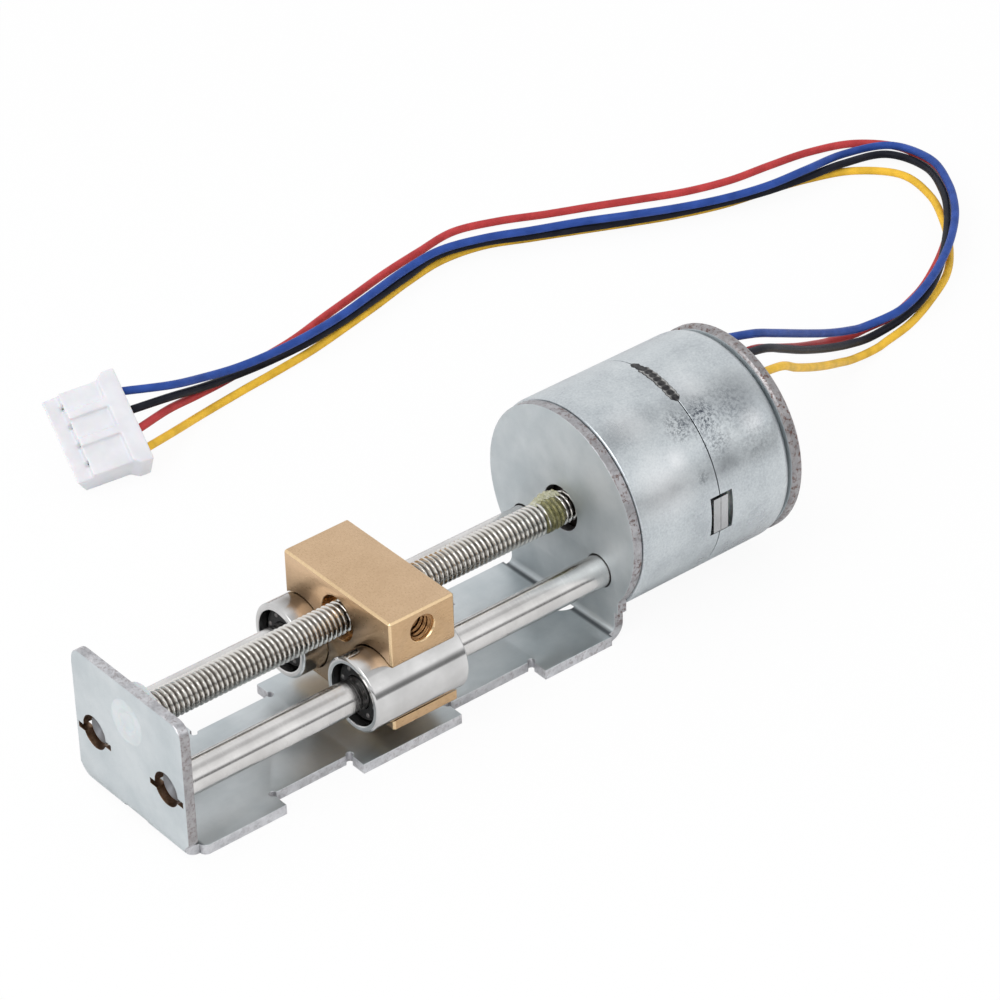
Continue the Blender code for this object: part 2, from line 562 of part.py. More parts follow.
def make_carriage():
    """Brass block split open at its sides by the two bearings it holds, on the screw's axis."""
    carriage = bpy.data.objects.new("carriage_axis", None)
    carriage.location = (CARRIAGE_REST, 0, SCREW_HEIGHT)
    place_in(carriage, PARTS)

    height = BLOCK_TOP - BLOCK_BOTTOM
    middle = (BLOCK_TOP + BLOCK_BOTTOM) / 2 - SCREW_HEIGHT
    body = part(block("slider_block", (BLOCK_LENGTH, BLOCK_WIDTH, height), (0, 0, middle)), "brass", carriage)
    edges = body.modifiers.new("broken_edges", "BEVEL")
    edges.width = BLOCK_CHAMFER
    edges.segments = 1
    edges.limit_method = "NONE"

    long = 2 * BLOCK_LENGTH
    rod_drop = ROD_HEIGHT - SCREW_HEIGHT
    for side, y in (("left", ROD_SPACING / 2), ("right", -ROD_SPACING / 2)):
        seat = rod_shape("bearing_seat_" + side, BEARING_DIAMETER / 2 + HOLE_GAP, long, (0, y, rod_drop),
                         facets=FINE)
        combine(body, cutter(seat, carriage), "DIFFERENCE")
    nut = rod_shape("nut_bore", SCREW_DIAMETER / 2 + RUNNING_GAP, long, (0, 0, 0))
    combine(body, cutter(nut, carriage), "DIFFERENCE")
    counterbore = rod_shape("counterbore", BLOCK_COUNTERBORE / 2, 2 * BLOCK_COUNTERBORE_DEPTH,
                            (-BLOCK_LENGTH / 2, 0, 0))
    combine(body, cutter(counterbore, carriage), "DIFFERENCE")
    hole_rise = SIDE_HOLE_HEIGHT - SCREW_HEIGHT
    face = -BLOCK_WIDTH / 2
    tapped = rod_shape("side_hole", SIDE_HOLE_DIAMETER / 2, 2 * SIDE_HOLE_DEPTH, (0, face, hole_rise), "Y",
                       COARSE)
    combine(body, cutter(tapped, carriage), "DIFFERENCE")
    mouth = rod_shape("side_hole_mouth", SIDE_HOLE_MOUTH / 2, SIDE_HOLE_MOUTH - SIDE_HOLE_DIAMETER,
                      (0, face, hole_rise), "Y", COARSE, end_radius=SIDE_HOLE_DIAMETER / 2 - SEAT_GAP)
    combine(body, cutter(mouth, carriage), "DIFFERENCE")

    outer = BEARING_DIAMETER / 2
    low = BEARING_SHIFT - BEARING_LENGTH / 2
    high = BEARING_SHIFT + BEARING_LENGTH / 2
    inside = outer - BEARING_WALL
    for side, y in (("left", ROD_SPACING / 2), ("right", -ROD_SPACING / 2)):
        shell = turned("bearing_sleeve_" + side, sleeve(low, high, outer, inside, BEARING_EDGE),
                       (y, rod_drop), MEDIUM)
        part(shell, "bright_steel", carriage)
        cage = turned("ball_cage_" + side,
                      sleeve(low + CAGE_RECESS, high - CAGE_RECESS, inside - HOLE_GAP,
                             ROD_DIAMETER / 2 + RUNNING_GAP), (y, rod_drop), COARSE)
        part(cage, "black_resin", carriage)


def cup_profile(face, rim, edge):
    """Profile of a drawn cup whose closed face is at one x and whose open rim is at the other."""
    toward = 1.0 if rim > face else -1.0
    hole = CUP_FACE_HOLE_DIAMETER / 2
    inside = MOTOR_RADIUS - MOTOR_WALL
    corner = [(MOTOR_RADIUS - edge + radius, face + toward * (edge - rise))
              for radius, rise in arc((0, 0), edge, 0, 90, 4)]
    loop = [(MOTOR_RADIUS, rim)] + corner + [(hole, face), (hole, face + toward * MOTOR_WALL)]
    loop += [(inside, face + toward * MOTOR_WALL), (inside, rim)]
    return loop if toward > 0 else loop[::-1]


def claw_ring(name, root, tip, turn_deg):
    """The tapered pole teeth of one yoke, set evenly round the rotor. Their roots lie in the yoke."""
    shape = bmesh.new()
    middle = MAGNET_RADIUS + AIR_GAP + TOOTH_THICKNESS / 2
    for number in range(TOOTH_COUNT):
        tooth = bmesh.ops.create_cube(shape, size=1.0)["verts"]
        for corner in tooth:
            at_root = corner.co.x < 0
            width = TOOTH_ROOT_WIDTH if at_root else TOOTH_TIP_WIDTH
            x = root if at_root else tip
            corner.co = (x, corner.co.y * width, middle + corner.co.z * TOOTH_THICKNESS)
        angle = math.radians(turn_deg + number * 360 / TOOTH_COUNT)
        bmesh.ops.rotate(shape, verts=tooth, matrix=Matrix.Rotation(angle, 3, "X"))
    bmesh.ops.recalc_face_normals(shape, faces=shape.faces)
    mesh = bpy.data.meshes.new(name)
    shape.to_mesh(mesh)
    shape.free()
    made = bpy.data.objects.new(name, mesh)
    made.location = (0, 0, SCREW_HEIGHT)
    return cutter(made)


def yoke_plate(name, low, high):
    """Inner yoke: a ring with two keys that fill the windows in the shell."""
    outside = MOTOR_RADIUS - MOTOR_WALL - SEAT_GAP
    key = KEY_WIDTH / 2 - KEY_CLEARANCE
    reach = MOTOR_RADIUS - SEAT_GAP
    swing = math.degrees(math.asin(key / outside))
    rim = arc((0, 0), outside, swing, 180 - swing, FINE // 2)
    rim = rim + [(-reach, key), (-reach, -key)]
    rim += arc((0, 0), outside, 180 + swing, 360 - swing, FINE // 2) + [(reach, -key), (reach, key)]
    hole = arc((0, 0), MAGNET_RADIUS + AIR_GAP, 0, 360 - 360 / FINE, FINE - 1)
    return extruded(name, [rim, hole], high - low, OUTLINE_TO_FRONT, ((low + high) / 2, 0, SCREW_HEIGHT))


def make_motor_shell():
    """Two cups that meet at the seam, with windows for the yoke keys, and the rear cover."""
    front = part(turned("motor_front_cup", cup_profile(MOTOR_FRONT, SEAM, FRONT_CUP_EDGE)), "zinc_sheet")
    rear = part(turned("motor_rear_cup", cup_profile(REAR_CUP_BACK, REAR_CUP_FRONT, REAR_CUP_EDGE)),
                "zinc_sheet")
    bury = MOTOR_WALL / 2
    teeth = claw_ring("front_cup_teeth", MOTOR_FRONT + bury, SEAM - YOKE_THICKNESS - TOOTH_TIP_GAP, 0)
    combine(front, teeth, "UNION")
    teeth = claw_ring("rear_cup_teeth", REAR_CUP_BACK - bury,
                      REAR_CUP_FRONT + YOKE_THICKNESS + TOOTH_TIP_GAP, 9)
    combine(rear, teeth, "UNION")
    for side in (-1, 1):
        centre_y = side * (MOTOR_RADIUS - MOTOR_WALL / 2)
        label = "near" if side < 0 else "far"
        notch = block("front_window_" + label, (2 * FRONT_WINDOW_DEPTH, 2 * MOTOR_WALL, KEY_WIDTH),
                      (SEAM, centre_y, SCREW_HEIGHT))
        combine(front, cutter(notch), "DIFFERENCE")
        notch = block("rear_window_" + label, (2 * REAR_WINDOW_DEPTH, 2 * MOTOR_WALL, KEY_WIDTH),
                      (REAR_CUP_FRONT, centre_y, SCREW_HEIGHT))
        combine(rear, cutter(notch), "DIFFERENCE")

    cover = turned("rear_cover", sleeve_solid(COVER_FRONT, COVER_BACK, COVER_RADIUS, COVER_EDGE),
                   closed=False)
    part(cover, "zinc_sheet")
    width = EXIT_BLOCK_WIDTH - 2 * EXIT_FLANGE_RIM + 2 * HOLE_GAP
    height = EXIT_BLOCK_HEIGHT - 2 * EXIT_FLANGE_RIM + 2 * HOLE_GAP
    slot = block("exit_slot", (3 * COVER_THICKNESS, width, height), (COVER_BACK, EXIT_BLOCK_SHIFT, EXIT_BLOCK_Z))
    combine(cover, cutter(slot), "DIFFERENCE")


def make_lead_exit():
    """Moulded block in the cover's slot, with a flange outside, that the leads come out of."""
    flange_low = COVER_BACK + SEAT_GAP
    flange_high = COVER_BACK + EXIT_BLOCK_PROUD
    flange = block("lead_exit_block", (flange_high - flange_low, EXIT_BLOCK_WIDTH, EXIT_BLOCK_HEIGHT),
                   ((flange_low + flange_high) / 2, EXIT_BLOCK_SHIFT, EXIT_BLOCK_Z))
    part(flange, "white_resin")
    edges = flange.modifiers.new("round_corners", "BEVEL")
    edges.width = EXIT_CORNER_RADIUS
    edges.segments = 2
    edges.limit_method = "NONE"
    plug_low = COVER_FRONT
    plug_high = flange_low + EXIT_PLUG_BITE
    plug = block("exit_plug", (plug_high - plug_low, EXIT_BLOCK_WIDTH - 2 * EXIT_FLANGE_RIM,
                               EXIT_BLOCK_HEIGHT - 2 * EXIT_FLANGE_RIM),
                 ((plug_low + plug_high) / 2, EXIT_BLOCK_SHIFT, EXIT_BLOCK_Z))
    combine(flange, cutter(plug), "UNION")


def make_stator():
    """Inner yokes back to back at the seam, and a wound bobbin in each cup."""
    halves = (
        ("front", MOTOR_FRONT + MOTOR_WALL, SEAM - YOKE_THICKNESS, SEAM - YOKE_THICKNESS, SEAM, -1, 36),
        ("rear", REAR_CUP_FRONT + YOKE_THICKNESS, REAR_CUP_BACK - MOTOR_WALL, REAR_CUP_FRONT,
         REAR_CUP_FRONT + YOKE_THICKNESS, 1, 45),
    )
    for half, low, high, yoke_low, yoke_high, toward, turn in halves:
        yoke = part(yoke_plate("yoke_" + half, yoke_low, yoke_high), "zinc_sheet")
        root = (yoke_low + yoke_high) / 2
        far_wall = low if toward < 0 else high
        teeth = claw_ring("yoke_teeth_" + half, root, far_wall - toward * TOOTH_TIP_GAP, turn)
        combine(yoke, teeth, "UNION")

        low, high = low + SEAT_GAP, high - SEAT_GAP
        bore = BOBBIN_BORE_RADIUS
        tube = BOBBIN_TUBE_RADIUS
        flange = BOBBIN_FLANGE_RADIUS
        profile = [
            (flange, high), (flange, high - BOBBIN_WALL), (tube, high - BOBBIN_WALL),
            (tube, low + BOBBIN_WALL), (flange, low + BOBBIN_WALL), (flange, low), (bore, low), (bore, high),
        ]
        part(turned("bobbin_" + half, profile, facets=COARSE), "white_resin")
        coil = sleeve(low + BOBBIN_WALL + SEAT_GAP, high - BOBBIN_WALL - SEAT_GAP,
                      WINDING_RADIUS, tube + HOLE_GAP)
        part(turned("winding_" + half, coil, facets=COARSE), "copper_wire")


def threaded_shaft(name, front, rear, pitch, root, crest, sides):
    """A shaft along X with one right-hand thread between two turned ends. front and rear list
    (radius, x) from each outer end inwards. One helix follows the thread's root and one its crest,
    and each turn of the root lies one pitch further on, so the two helices close the surface."""
    shape = bmesh.new()
    step = math.radians(360) / sides

    def point(radius, x, number):
        return shape.verts.new((x, radius * math.cos(step * number), radius * math.sin(step * number)))

    def turned_end(profile):
        rings = [[point(radius, x, k) for k in range(sides)] for radius, x in profile]
        shape.faces.new(rings[0])
        for outer, inner in zip(rings, rings[1:]):
            for k in range(sides):
                after = (k + 1) % sides
                shape.faces.new((outer[k], outer[after], inner[after], inner[k]))
        return rings[-1]

    def triangles(*corners):
        for second, third in zip(corners[1:], corners[2:]):
            shape.faces.new((corners[0], second, third))

    low = turned_end(front)
    high = turned_end(rear)
    start = front[-1][1] + pitch / sides
    last = sides * (int((rear[-1][1] - start) / pitch) - 1)
    roots = [point(root, start + pitch * k / sides, k) for k in range(last + sides + 1)]
    crests = []
    for k in range(last + 1):
        grown = min(1.0, (min(k, last - k) + 1) / sides)
        crests.append(point(root + (crest - root) * grown, start + pitch * (k / sides + 0.5), k))
    for k in range(last):
        triangles(roots[k], roots[k + 1], crests[k + 1], crests[k])
        triangles(crests[k], crests[k + 1], roots[k + sides + 1], roots[k + sides])
    for k in range(sides - 1):
        triangles(low[k], low[k + 1], roots[k + 1], roots[k])
        triangles(roots[last + k + 1], roots[last + k + 2], high[(k + 2) % sides], high[k + 1])
    triangles(roots[sides - 1], low[sides - 1], low[0], roots[0], crests[0], roots[sides])
    triangles(roots[last + 1], roots[last], crests[last], roots[last + sides], high[0], high[1])
    bmesh.ops.recalc_face_normals(shape, faces=shape.faces)
    mesh = bpy.data.meshes.new(name)
    shape.to_mesh(mesh)
    shape.free()
    return bpy.data.objects.new(name, mesh)


def make_rotor():
    """Lead screw with the magnet and its hub on it, in two bushes, turning on the screw's axis."""
    axis = bpy.data.objects.new("rotor_axis", None)
    axis.location = (0, 0, SCREW_HEIGHT)
    place_in(axis, PARTS)

    tip_low = FRONT_OUTER + BUSH_SKIN + SEAT_GAP
    thread_low = FRONT_INNER + BUSH_FLANGE_THICKNESS + 3 * SEAT_GAP
    tail_low = REAR_CUP_BACK - MOTOR_WALL - SCREW_TIP_LENGTH / 2
    tail_high = COVER_FRONT - SEAT_GAP
    tip = SCREW_TIP_DIAMETER / 2
    body = SCREW_DIAMETER / 2
    chamfer = SCREW_END_CHAMFER
    root = body - THREAD_DEPTH_PER_PITCH * THREAD_PITCH
    front_end = [(tip - chamfer, tip_low), (tip, tip_low + chamfer), (tip, thread_low), (root, thread_low)]
    rear_end = [(tip - chamfer, tail_high), (tip, tail_high - chamfer), (tip, tail_low), (body, tail_low),
                (body, REAR_OUTER)]
    screw = threaded_shaft("lead_screw", front_end, rear_end, THREAD_PITCH, root, body, THREAD_SIDES)
    part(screw, "screw_steel", axis)

    front_bush_high = MOTOR_FRONT + MOTOR_BUSH_LENGTH
    rear_bush_low = tail_low + 2 * SEAT_GAP
    rear_washer_high = rear_bush_low - SEAT_GAP
    hub_low = front_bush_high + WASHER_THICKNESS + 2 * SEAT_GAP
    hub_high = rear_washer_high - WASHER_THICKNESS - SEAT_GAP
    hub = turned("rotor_hub", sleeve(hub_low, hub_high, HUB_RADIUS, BORE_RADIUS), (0, 0), COARSE)
    part(hub, "black_resin", axis)
    magnet = turned("rotor_magnet",
                    sleeve(hub_low + HUB_OVERHANG, hub_high - HUB_OVERHANG, MAGNET_RADIUS,
                           HUB_RADIUS + SEAT_GAP, 0.2 * MM), (0, 0), COARSE)
    part(magnet, "ferrite", axis)

    seat = CUP_FACE_HOLE_DIAMETER / 2 - SEAT_GAP
    front = turned("front_motor_bush", sleeve(MOTOR_FRONT + SEAT_GAP, front_bush_high, seat,
                                              SCREW_DIAMETER / 2 + RUNNING_GAP), facets=COARSE)
    part(front, "sintered_bronze")
    rear = turned("rear_motor_bush", sleeve(rear_bush_low, REAR_CUP_BACK - SEAT_GAP, seat,
                                            SCREW_TIP_DIAMETER / 2 + RUNNING_GAP), facets=COARSE)
    part(rear, "sintered_bronze")
    spots = (
        ("front_thrust_washer", front_bush_high + SEAT_GAP, front_bush_high + SEAT_GAP + WASHER_THICKNESS),
        ("rear_thrust_washer", rear_washer_high - WASHER_THICKNESS, rear_washer_high),
    )
    for title, low, high in spots:
        washer = turned(title, sleeve(low, high, WASHER_RADIUS, BORE_RADIUS + SEAT_GAP), facets=COARSE)
        part(washer, "bright_steel")


def smooth_route(points, count):
    """Evenly spaced points on a Catmull-Rom curve through the route's own points, in metres.
    The curve is kept from dipping below the table between two points that lie on it."""
    route = np.array(points) * MM
    padded = np.vstack([2 * route[0] - route[1], route, 2 * route[-1] - route[-2]])
    t = np.linspace(0.0, 1.0, 12, endpoint=False)[:, None]
    pieces = []
    for a, b, c, d in zip(padded, padded[1:], padded[2:], padded[3:]):
        pieces.append(0.5 * (2 * b + (c - a) * t + (2 * a - 5 * b + 4 * c - d) * t ** 2
                             + (3 * b - a - 3 * c + d) * t ** 3))
    fine = np.vstack(pieces + [route[-1:]])
    fine[:, 2] = np.maximum(fine[:, 2], LEAD_LOWEST)
    travelled = np.concatenate([[0.0], np.cumsum(np.linalg.norm(np.diff(fine, axis=0), axis=1))])
    wanted = np.linspace(0.0, travelled[-1], count)
    return np.column_stack([np.interp(wanted, travelled, fine[:, k]) for k in range(3)])


def make_leads():
    """Four insulated leads, each one plain tube from the exit block to the connector."""
    for colour, points in ROUTES.items():
        path = bpy.data.curves.new("lead_" + colour, "CURVE")
        path.dimensions = "3D"
        path.bevel_depth = LEAD_DIAMETER / 2
        path.bevel_resolution = 1
        path.use_fill_caps = True
        route = smooth_route(points, LEAD_POINT_COUNT)
        spline = path.splines.new("POLY")
        spline.points.add(len(route) - 1)
        for slot, place in zip(spline.points, route):
            slot.co = (place[0], place[1], place[2], 1.0)
        part(bpy.data.objects.new("lead_" + colour, path), (LEAD_COLOURS[colour], 0.4, 0.0))


def housing_outline():
    """Housing in plan: a straight body that flares to a lip at the wire end."""
    half = HOUSING_BODY_WIDTH / 2
    lip = HOUSING_WIDTH / 2
    side = [(-HOUSING_LENGTH, half), (-HOUSING_LIP - HOUSING_LIP_TAPER, half), (-HOUSING_LIP, lip), (0.0, lip)]
    return side + [(x, -y) for x, y in reversed(side)]


def make_connector():
    """Four-way housing with a crimp contact in each way, lying on the corner of its mating end."""
    frame = bpy.data.objects.new("connector_frame", None)
    frame.location = (CONNECTOR_X, CONNECTOR_Y, CONNECTOR_Z)
    frame.rotation_euler = (CONNECTOR_ROLL, -CONNECTOR_NOSE_DOWN, CONNECTOR_SWING)
    place_in(frame, PARTS)

    housing = part(extruded("connector_housing", [housing_outline()], HOUSING_THICKNESS), "white_resin", frame)
    top = HOUSING_THICKNESS / 2
    step = block("housing_step", (2 * HOUSING_STEP_LENGTH, 2 * HOUSING_WIDTH, 2 * HOUSING_STEP_DEPTH),
                 (-HOUSING_LENGTH, 0, top))
    combine(housing, cutter(step, frame), "DIFFERENCE")
    channel_length = HOUSING_LENGTH - HOUSING_LIP - HOUSING_LIP_TAPER
    half_rib = RIB_WIDTH / 2
    spans = (("near", -HOUSING_WIDTH, NEAR_RIB - half_rib), ("middle", NEAR_RIB + half_rib, FAR_RIB - half_rib),
             ("far", FAR_RIB + half_rib, HOUSING_WIDTH))
    for title, low, high in spans:
        channel = block("housing_channel_" + title, (2 * channel_length, high - low, 2 * CHANNEL_DEPTH),
                        (-HOUSING_LENGTH, (low + high) / 2, top))
        combine(housing, cutter(channel, frame), "DIFFERENCE")
    for way in range(WAYS):
        y = (way - (WAYS - 1) / 2) * PITCH
        cavity = block("cavity_%d" % (way + 1), (3 * HOUSING_LENGTH, CAVITY, CAVITY), (0, y, 0))
        combine(housing, cutter(cavity, frame), "DIFFERENCE")
        contact = block("crimp_contact_%d" % (way + 1), (CONTACT_LENGTH, CONTACT_SIZE, CONTACT_SIZE),
                        (-CONTACT_INSET - CONTACT_LENGTH / 2, y, 0))
        part(contact, "bright_steel", frame)


make_bracket()
make_guide_rods()
make_front_bush()
make_carriage()
make_motor_shell()
make_lead_exit()
make_stator()
make_rotor()
make_leads()
make_connector()
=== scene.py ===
# %% [markdown]
# # A small motor-driven linear slide
#
# A folded zinc-plated bracket carries two ground rods and a long threaded shaft. The shaft belongs to a
# round stepper motor, and it pushes a brass carriage along the rods. Four coloured leads run from the
# motor to a white plug.
#
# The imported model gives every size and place. Each cell below takes one piece of it, says what the real
# piece is, and dresses it.

import math

import bmesh
import bpy
import numpy as np
from mathutils import Matrix, Vector


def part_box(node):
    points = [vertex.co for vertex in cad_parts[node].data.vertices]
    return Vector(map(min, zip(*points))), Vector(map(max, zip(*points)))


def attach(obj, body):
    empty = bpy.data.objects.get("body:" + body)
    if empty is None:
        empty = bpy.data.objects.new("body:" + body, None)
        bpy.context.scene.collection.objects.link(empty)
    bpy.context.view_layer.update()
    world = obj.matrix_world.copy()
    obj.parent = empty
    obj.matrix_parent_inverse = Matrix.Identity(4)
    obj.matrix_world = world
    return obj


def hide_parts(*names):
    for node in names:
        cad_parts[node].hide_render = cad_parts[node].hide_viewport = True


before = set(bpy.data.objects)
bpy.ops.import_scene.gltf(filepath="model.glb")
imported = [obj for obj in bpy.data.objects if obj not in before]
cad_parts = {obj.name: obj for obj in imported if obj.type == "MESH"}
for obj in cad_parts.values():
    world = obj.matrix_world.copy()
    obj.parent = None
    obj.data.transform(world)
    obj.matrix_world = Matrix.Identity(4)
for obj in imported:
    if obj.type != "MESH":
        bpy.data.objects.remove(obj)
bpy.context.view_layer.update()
MM = 0.001

# %% [markdown]
# ## The camera
#
# The view angle was solved from the straight edges of the bracket and the round ends of the motor. A
# camera that is described by azimuth, elevation, roll and distance is easy to read and to change, so
# its place is built from those four numbers. The lens is long, which keeps the perspective weak.

# %% Place the camera
VIEW_TARGET = Vector((11.06, -6.38, 20.06)) * MM
VIEW_DISTANCE = 385.0 * MM
VIEW_AZIMUTH = math.radians(-38.365)
VIEW_ELEVATION = math.radians(34.682)
VIEW_ROLL = math.radians(-1.795)
SENSOR = 36.0
FOCAL_PIXELS = 4573.9
PICTURE_SIDE = 1000.0


def camera_turn(azimuth, elevation, roll):
    """Stand the camera level looking along +Y, roll it, tip it down, then swing it round the object."""
    swing = Matrix.Rotation(azimuth, 4, "Z")
    tip = Matrix.Rotation(math.radians(90) - elevation, 4, "X")
    return swing @ tip @ Matrix.Rotation(roll, 4, "Z")


camera_data = bpy.data.cameras.new("product_camera")
camera_data.sensor_fit = "HORIZONTAL"
camera_data.sensor_width = SENSOR
camera_data.lens = FOCAL_PIXELS * SENSOR / PICTURE_SIDE
camera_data.clip_start = 0.01
camera_data.clip_end = 20.0
camera = bpy.data.objects.new("product_camera", camera_data)
bpy.context.scene.collection.objects.link(camera)
turn = camera_turn(VIEW_AZIMUTH, VIEW_ELEVATION, VIEW_ROLL)
back = turn.to_3x3() @ Vector((0, 0, 1))
camera.matrix_world = Matrix.Translation(VIEW_TARGET + back * VIEW_DISTANCE) @ turn
bpy.context.scene.camera = camera
bpy.context.scene.view_settings.view_transform = "Standard"
standing_at = [round(v, 4) for v in camera.matrix_world.translation]
print("lens", round(camera_data.lens, 2), "mm, camera at", standing_at)

# %% [markdown]
# ## Helpers: node materials
#
# Every finish below is a Principled shader with a few texture nodes on the piece's own Object
# coordinates, so the grain keeps its real size in millimetres and rides with the piece.

# %% Material helpers
def finish(name, colour, metallic, roughness, **settings):
    """Start a Principled material. Extra settings name the shader's own sockets."""
    made = bpy.data.materials.new(name)
    made.use_nodes = True
    shader = made.node_tree.nodes["Principled BSDF"]
    shader.inputs["Base Color"].default_value = (*colour, 1.0)
    shader.inputs["Metallic"].default_value = metallic
    shader.inputs["Roughness"].default_value = roughness
    for socket, value in settings.items():
        shader.inputs[socket.replace("_", " ")].default_value = value
    return made, shader


def add(made, kind, settings=(), **inputs):
    """Add a node. Inputs are numbers, colours or the sockets of other nodes, by socket name."""
    new = made.node_tree.nodes.new("ShaderNode" + kind)
    for key, value in dict(settings).items():
        setattr(new, key, value)
    for socket, value in inputs.items():
        key = int(socket[1:]) if socket[0] == "i" and socket[1:].isdigit() else socket.replace("_", " ")
        if isinstance(value, bpy.types.NodeSocket):
            made.node_tree.links.new(value, new.inputs[key])
        else:
            new.inputs[key].default_value = value
    return new


def join(made, output, target):
    """Link one socket to another."""
    made.node_tree.links.new(output, target)


def place_of(made, stretch=(1, 1, 1), centre=(0, 0, 0)):
    """The piece's own coordinates in millimetres, measured from a centre and stretched per axis."""
    position = add(made, "TexCoord").outputs["Object"]
    scale = tuple(s / MM for s in stretch)
    shift = tuple(-c * s for c, s in zip(centre, stretch))
    return add(made, "Mapping", Vector=position, Location=shift, Scale=scale).outputs["Vector"]


def noise(made, vector, scale, detail=3.0, roughness=0.55, distortion=0.0):
    """Cloudy noise. The scale is in features per millimetre."""
    return add(made, "TexNoise", Vector=vector, Scale=scale, Detail=detail, Roughness=roughness,
               Distortion=distortion).outputs["Fac"]


def ramp(made, value, *stops):
    """Colour or grey ramp. Each stop is a place from 0 to 1 and a grey or a colour."""
    made_ramp = add(made, "ValToRGB", Fac=value)
    bar = made_ramp.color_ramp.elements
    while len(bar) < len(stops):
        bar.new(0.5)
    for stop, (place, colour) in zip(bar, stops):
        stop.position = place
        stop.color = (*colour, 1.0) if isinstance(colour, tuple) else (colour, colour, colour, 1.0)
    return made_ramp.outputs["Color"]


def mix(made, amount, first, second, blend="MIX"):
    """Blend two colours by an amount."""
    return add(made, "Mix", {"data_type": "RGBA", "blend_type": blend}, Factor=amount, i6=first,
               i7=second).outputs[2]


def maths(made, operation, first, second=0.0):
    """One arithmetic step on two numbers."""
    return add(made, "Math", {"operation": operation}, i0=first, i1=second).outputs[0]


def between(made, value, low, high, to_low=0.0, to_high=1.0):
    """Map a range of a value onto another range, clamped."""
    return add(made, "MapRange", i0=value, i1=low, i2=high, i3=to_low, i4=to_high).outputs[0]


def relief(made, shader, height, distance, strength=1.0):
    """Bump from a height, with its real depth in millimetres."""
    bump = add(made, "Bump", Height=height, Distance=distance * MM, Strength=strength)
    join(made, bump.outputs["Normal"], shader.inputs["Normal"])


print("material helpers ready")

# %% [markdown]
# ## Helpers: surfaces from arrays
#
# Most pieces of this slide are turned, drawn or moulded, so their skins are functions of two
# parameters: one along the piece and one round it. The whole grid of points is worked out at once, and
# one helper turns any such grid into a closed mesh.

# %% Surface helpers
def collect(made, *finishes):
    """Link an object to the scene and give it its materials."""
    for one in finishes:
        made.data.materials.append(one)
    bpy.context.scene.collection.objects.link(made)
    return made


def tidy(mesh, weld=0.0005 * MM, sharp_deg=35.0):
    """Weld seams and poles, turn the faces outwards and shade smooth with crisp corners."""
    shape = bmesh.new()
    shape.from_mesh(mesh)
    bmesh.ops.remove_doubles(shape, verts=shape.verts, dist=weld)
    bmesh.ops.recalc_face_normals(shape, faces=shape.faces)
    shape.to_mesh(mesh)
    shape.free()
    mesh.shade_smooth()
    mesh.set_sharp_from_angle(angle=math.radians(sharp_deg))
    return mesh


def skin(name, points, *finishes, sharp_deg=35.0):
    """Cover a grid of points, rows by columns, with quads. The UV map runs along the rows and round
    the columns. Rows or columns that meet are welded, so tubes and poles close."""
    rows, columns = points.shape[:2]
    index = np.arange(rows * columns).reshape(rows, columns)
    quads = np.stack([index[:-1, :-1], index[1:, :-1], index[1:, 1:], index[:-1, 1:]], axis=-1)
    quads = quads.reshape(-1, 4)
    mesh = bpy.data.meshes.new(name)
    mesh.from_pydata(points.reshape(-1, 3).tolist(), [], quads.tolist())
    along, across = np.meshgrid(np.linspace(0, 1, rows), np.linspace(0, 1, columns), indexing="ij")
    spread = np.stack([along, across], axis=-1).reshape(-1, 2)
    mesh.uv_layers.new(name="UVMap").data.foreach_set("uv", spread[quads].ravel())
    made = bpy.data.objects.new(name, tidy(mesh, sharp_deg=sharp_deg))
    return collect(made, *finishes)


def about(x, radius, angle, centre):
    """Points about an axis along X: the axis centre plus the radius times cosine and sine of the angle."""
    x, radius, angle = np.broadcast_arrays(x, radius, angle)
    return np.stack([x, centre[0] + radius * np.cos(angle), centre[1] + radius * np.sin(angle)], axis=-1)


def lathe(profile, centre, steps=96):
    """Turn a profile about an axis along X. A profile row is (x, radius)."""
    x, radius = np.asarray(profile, dtype=float).T
    return about(x[:, None], radius[:, None], np.linspace(0.0, 2 * np.pi, steps + 1), centre)


def rounded(corners, radius, steps=5):
    """Round the corners of a profile. Each corner is (x, r) or (x, r, its own rounding); it is replaced
    by points of a quadratic curve between the two places where the rounding starts."""
    out = []
    count = len(corners)
    for k, corner in enumerate(corners):
        here = np.array(corner[:2], dtype=float)
        cut = corner[2] if len(corner) > 2 else radius
        if k in (0, count - 1) or cut == 0:
            out.append(here)
            continue
        before = np.array(corners[k - 1][:2], dtype=float) - here
        after = np.array(corners[k + 1][:2], dtype=float) - here
        reach = min(cut, 0.49 * np.linalg.norm(before), 0.49 * np.linalg.norm(after))
        start = here + before / np.linalg.norm(before) * reach
        end = here + after / np.linalg.norm(after) * reach
        t = np.linspace(0, 1, steps + 1)[:, None]
        out.extend((1 - t) ** 2 * start + 2 * t * (1 - t) * here + t ** 2 * end)
    return np.array(out)


SHARP = math.radians(30)


def round_edges(made, width, segments=2):
    """Round every edge that turns by more than 30 degrees."""
    if width > 0:
        edge = made.modifiers.new("rounded_edges", "BEVEL")
        edge.width = width
        edge.segments = segments
        edge.limit_method = "ANGLE"
        edge.angle_limit = SHARP
        edge.use_clamp_overlap = True
        edge.harden_normals = True
    return made


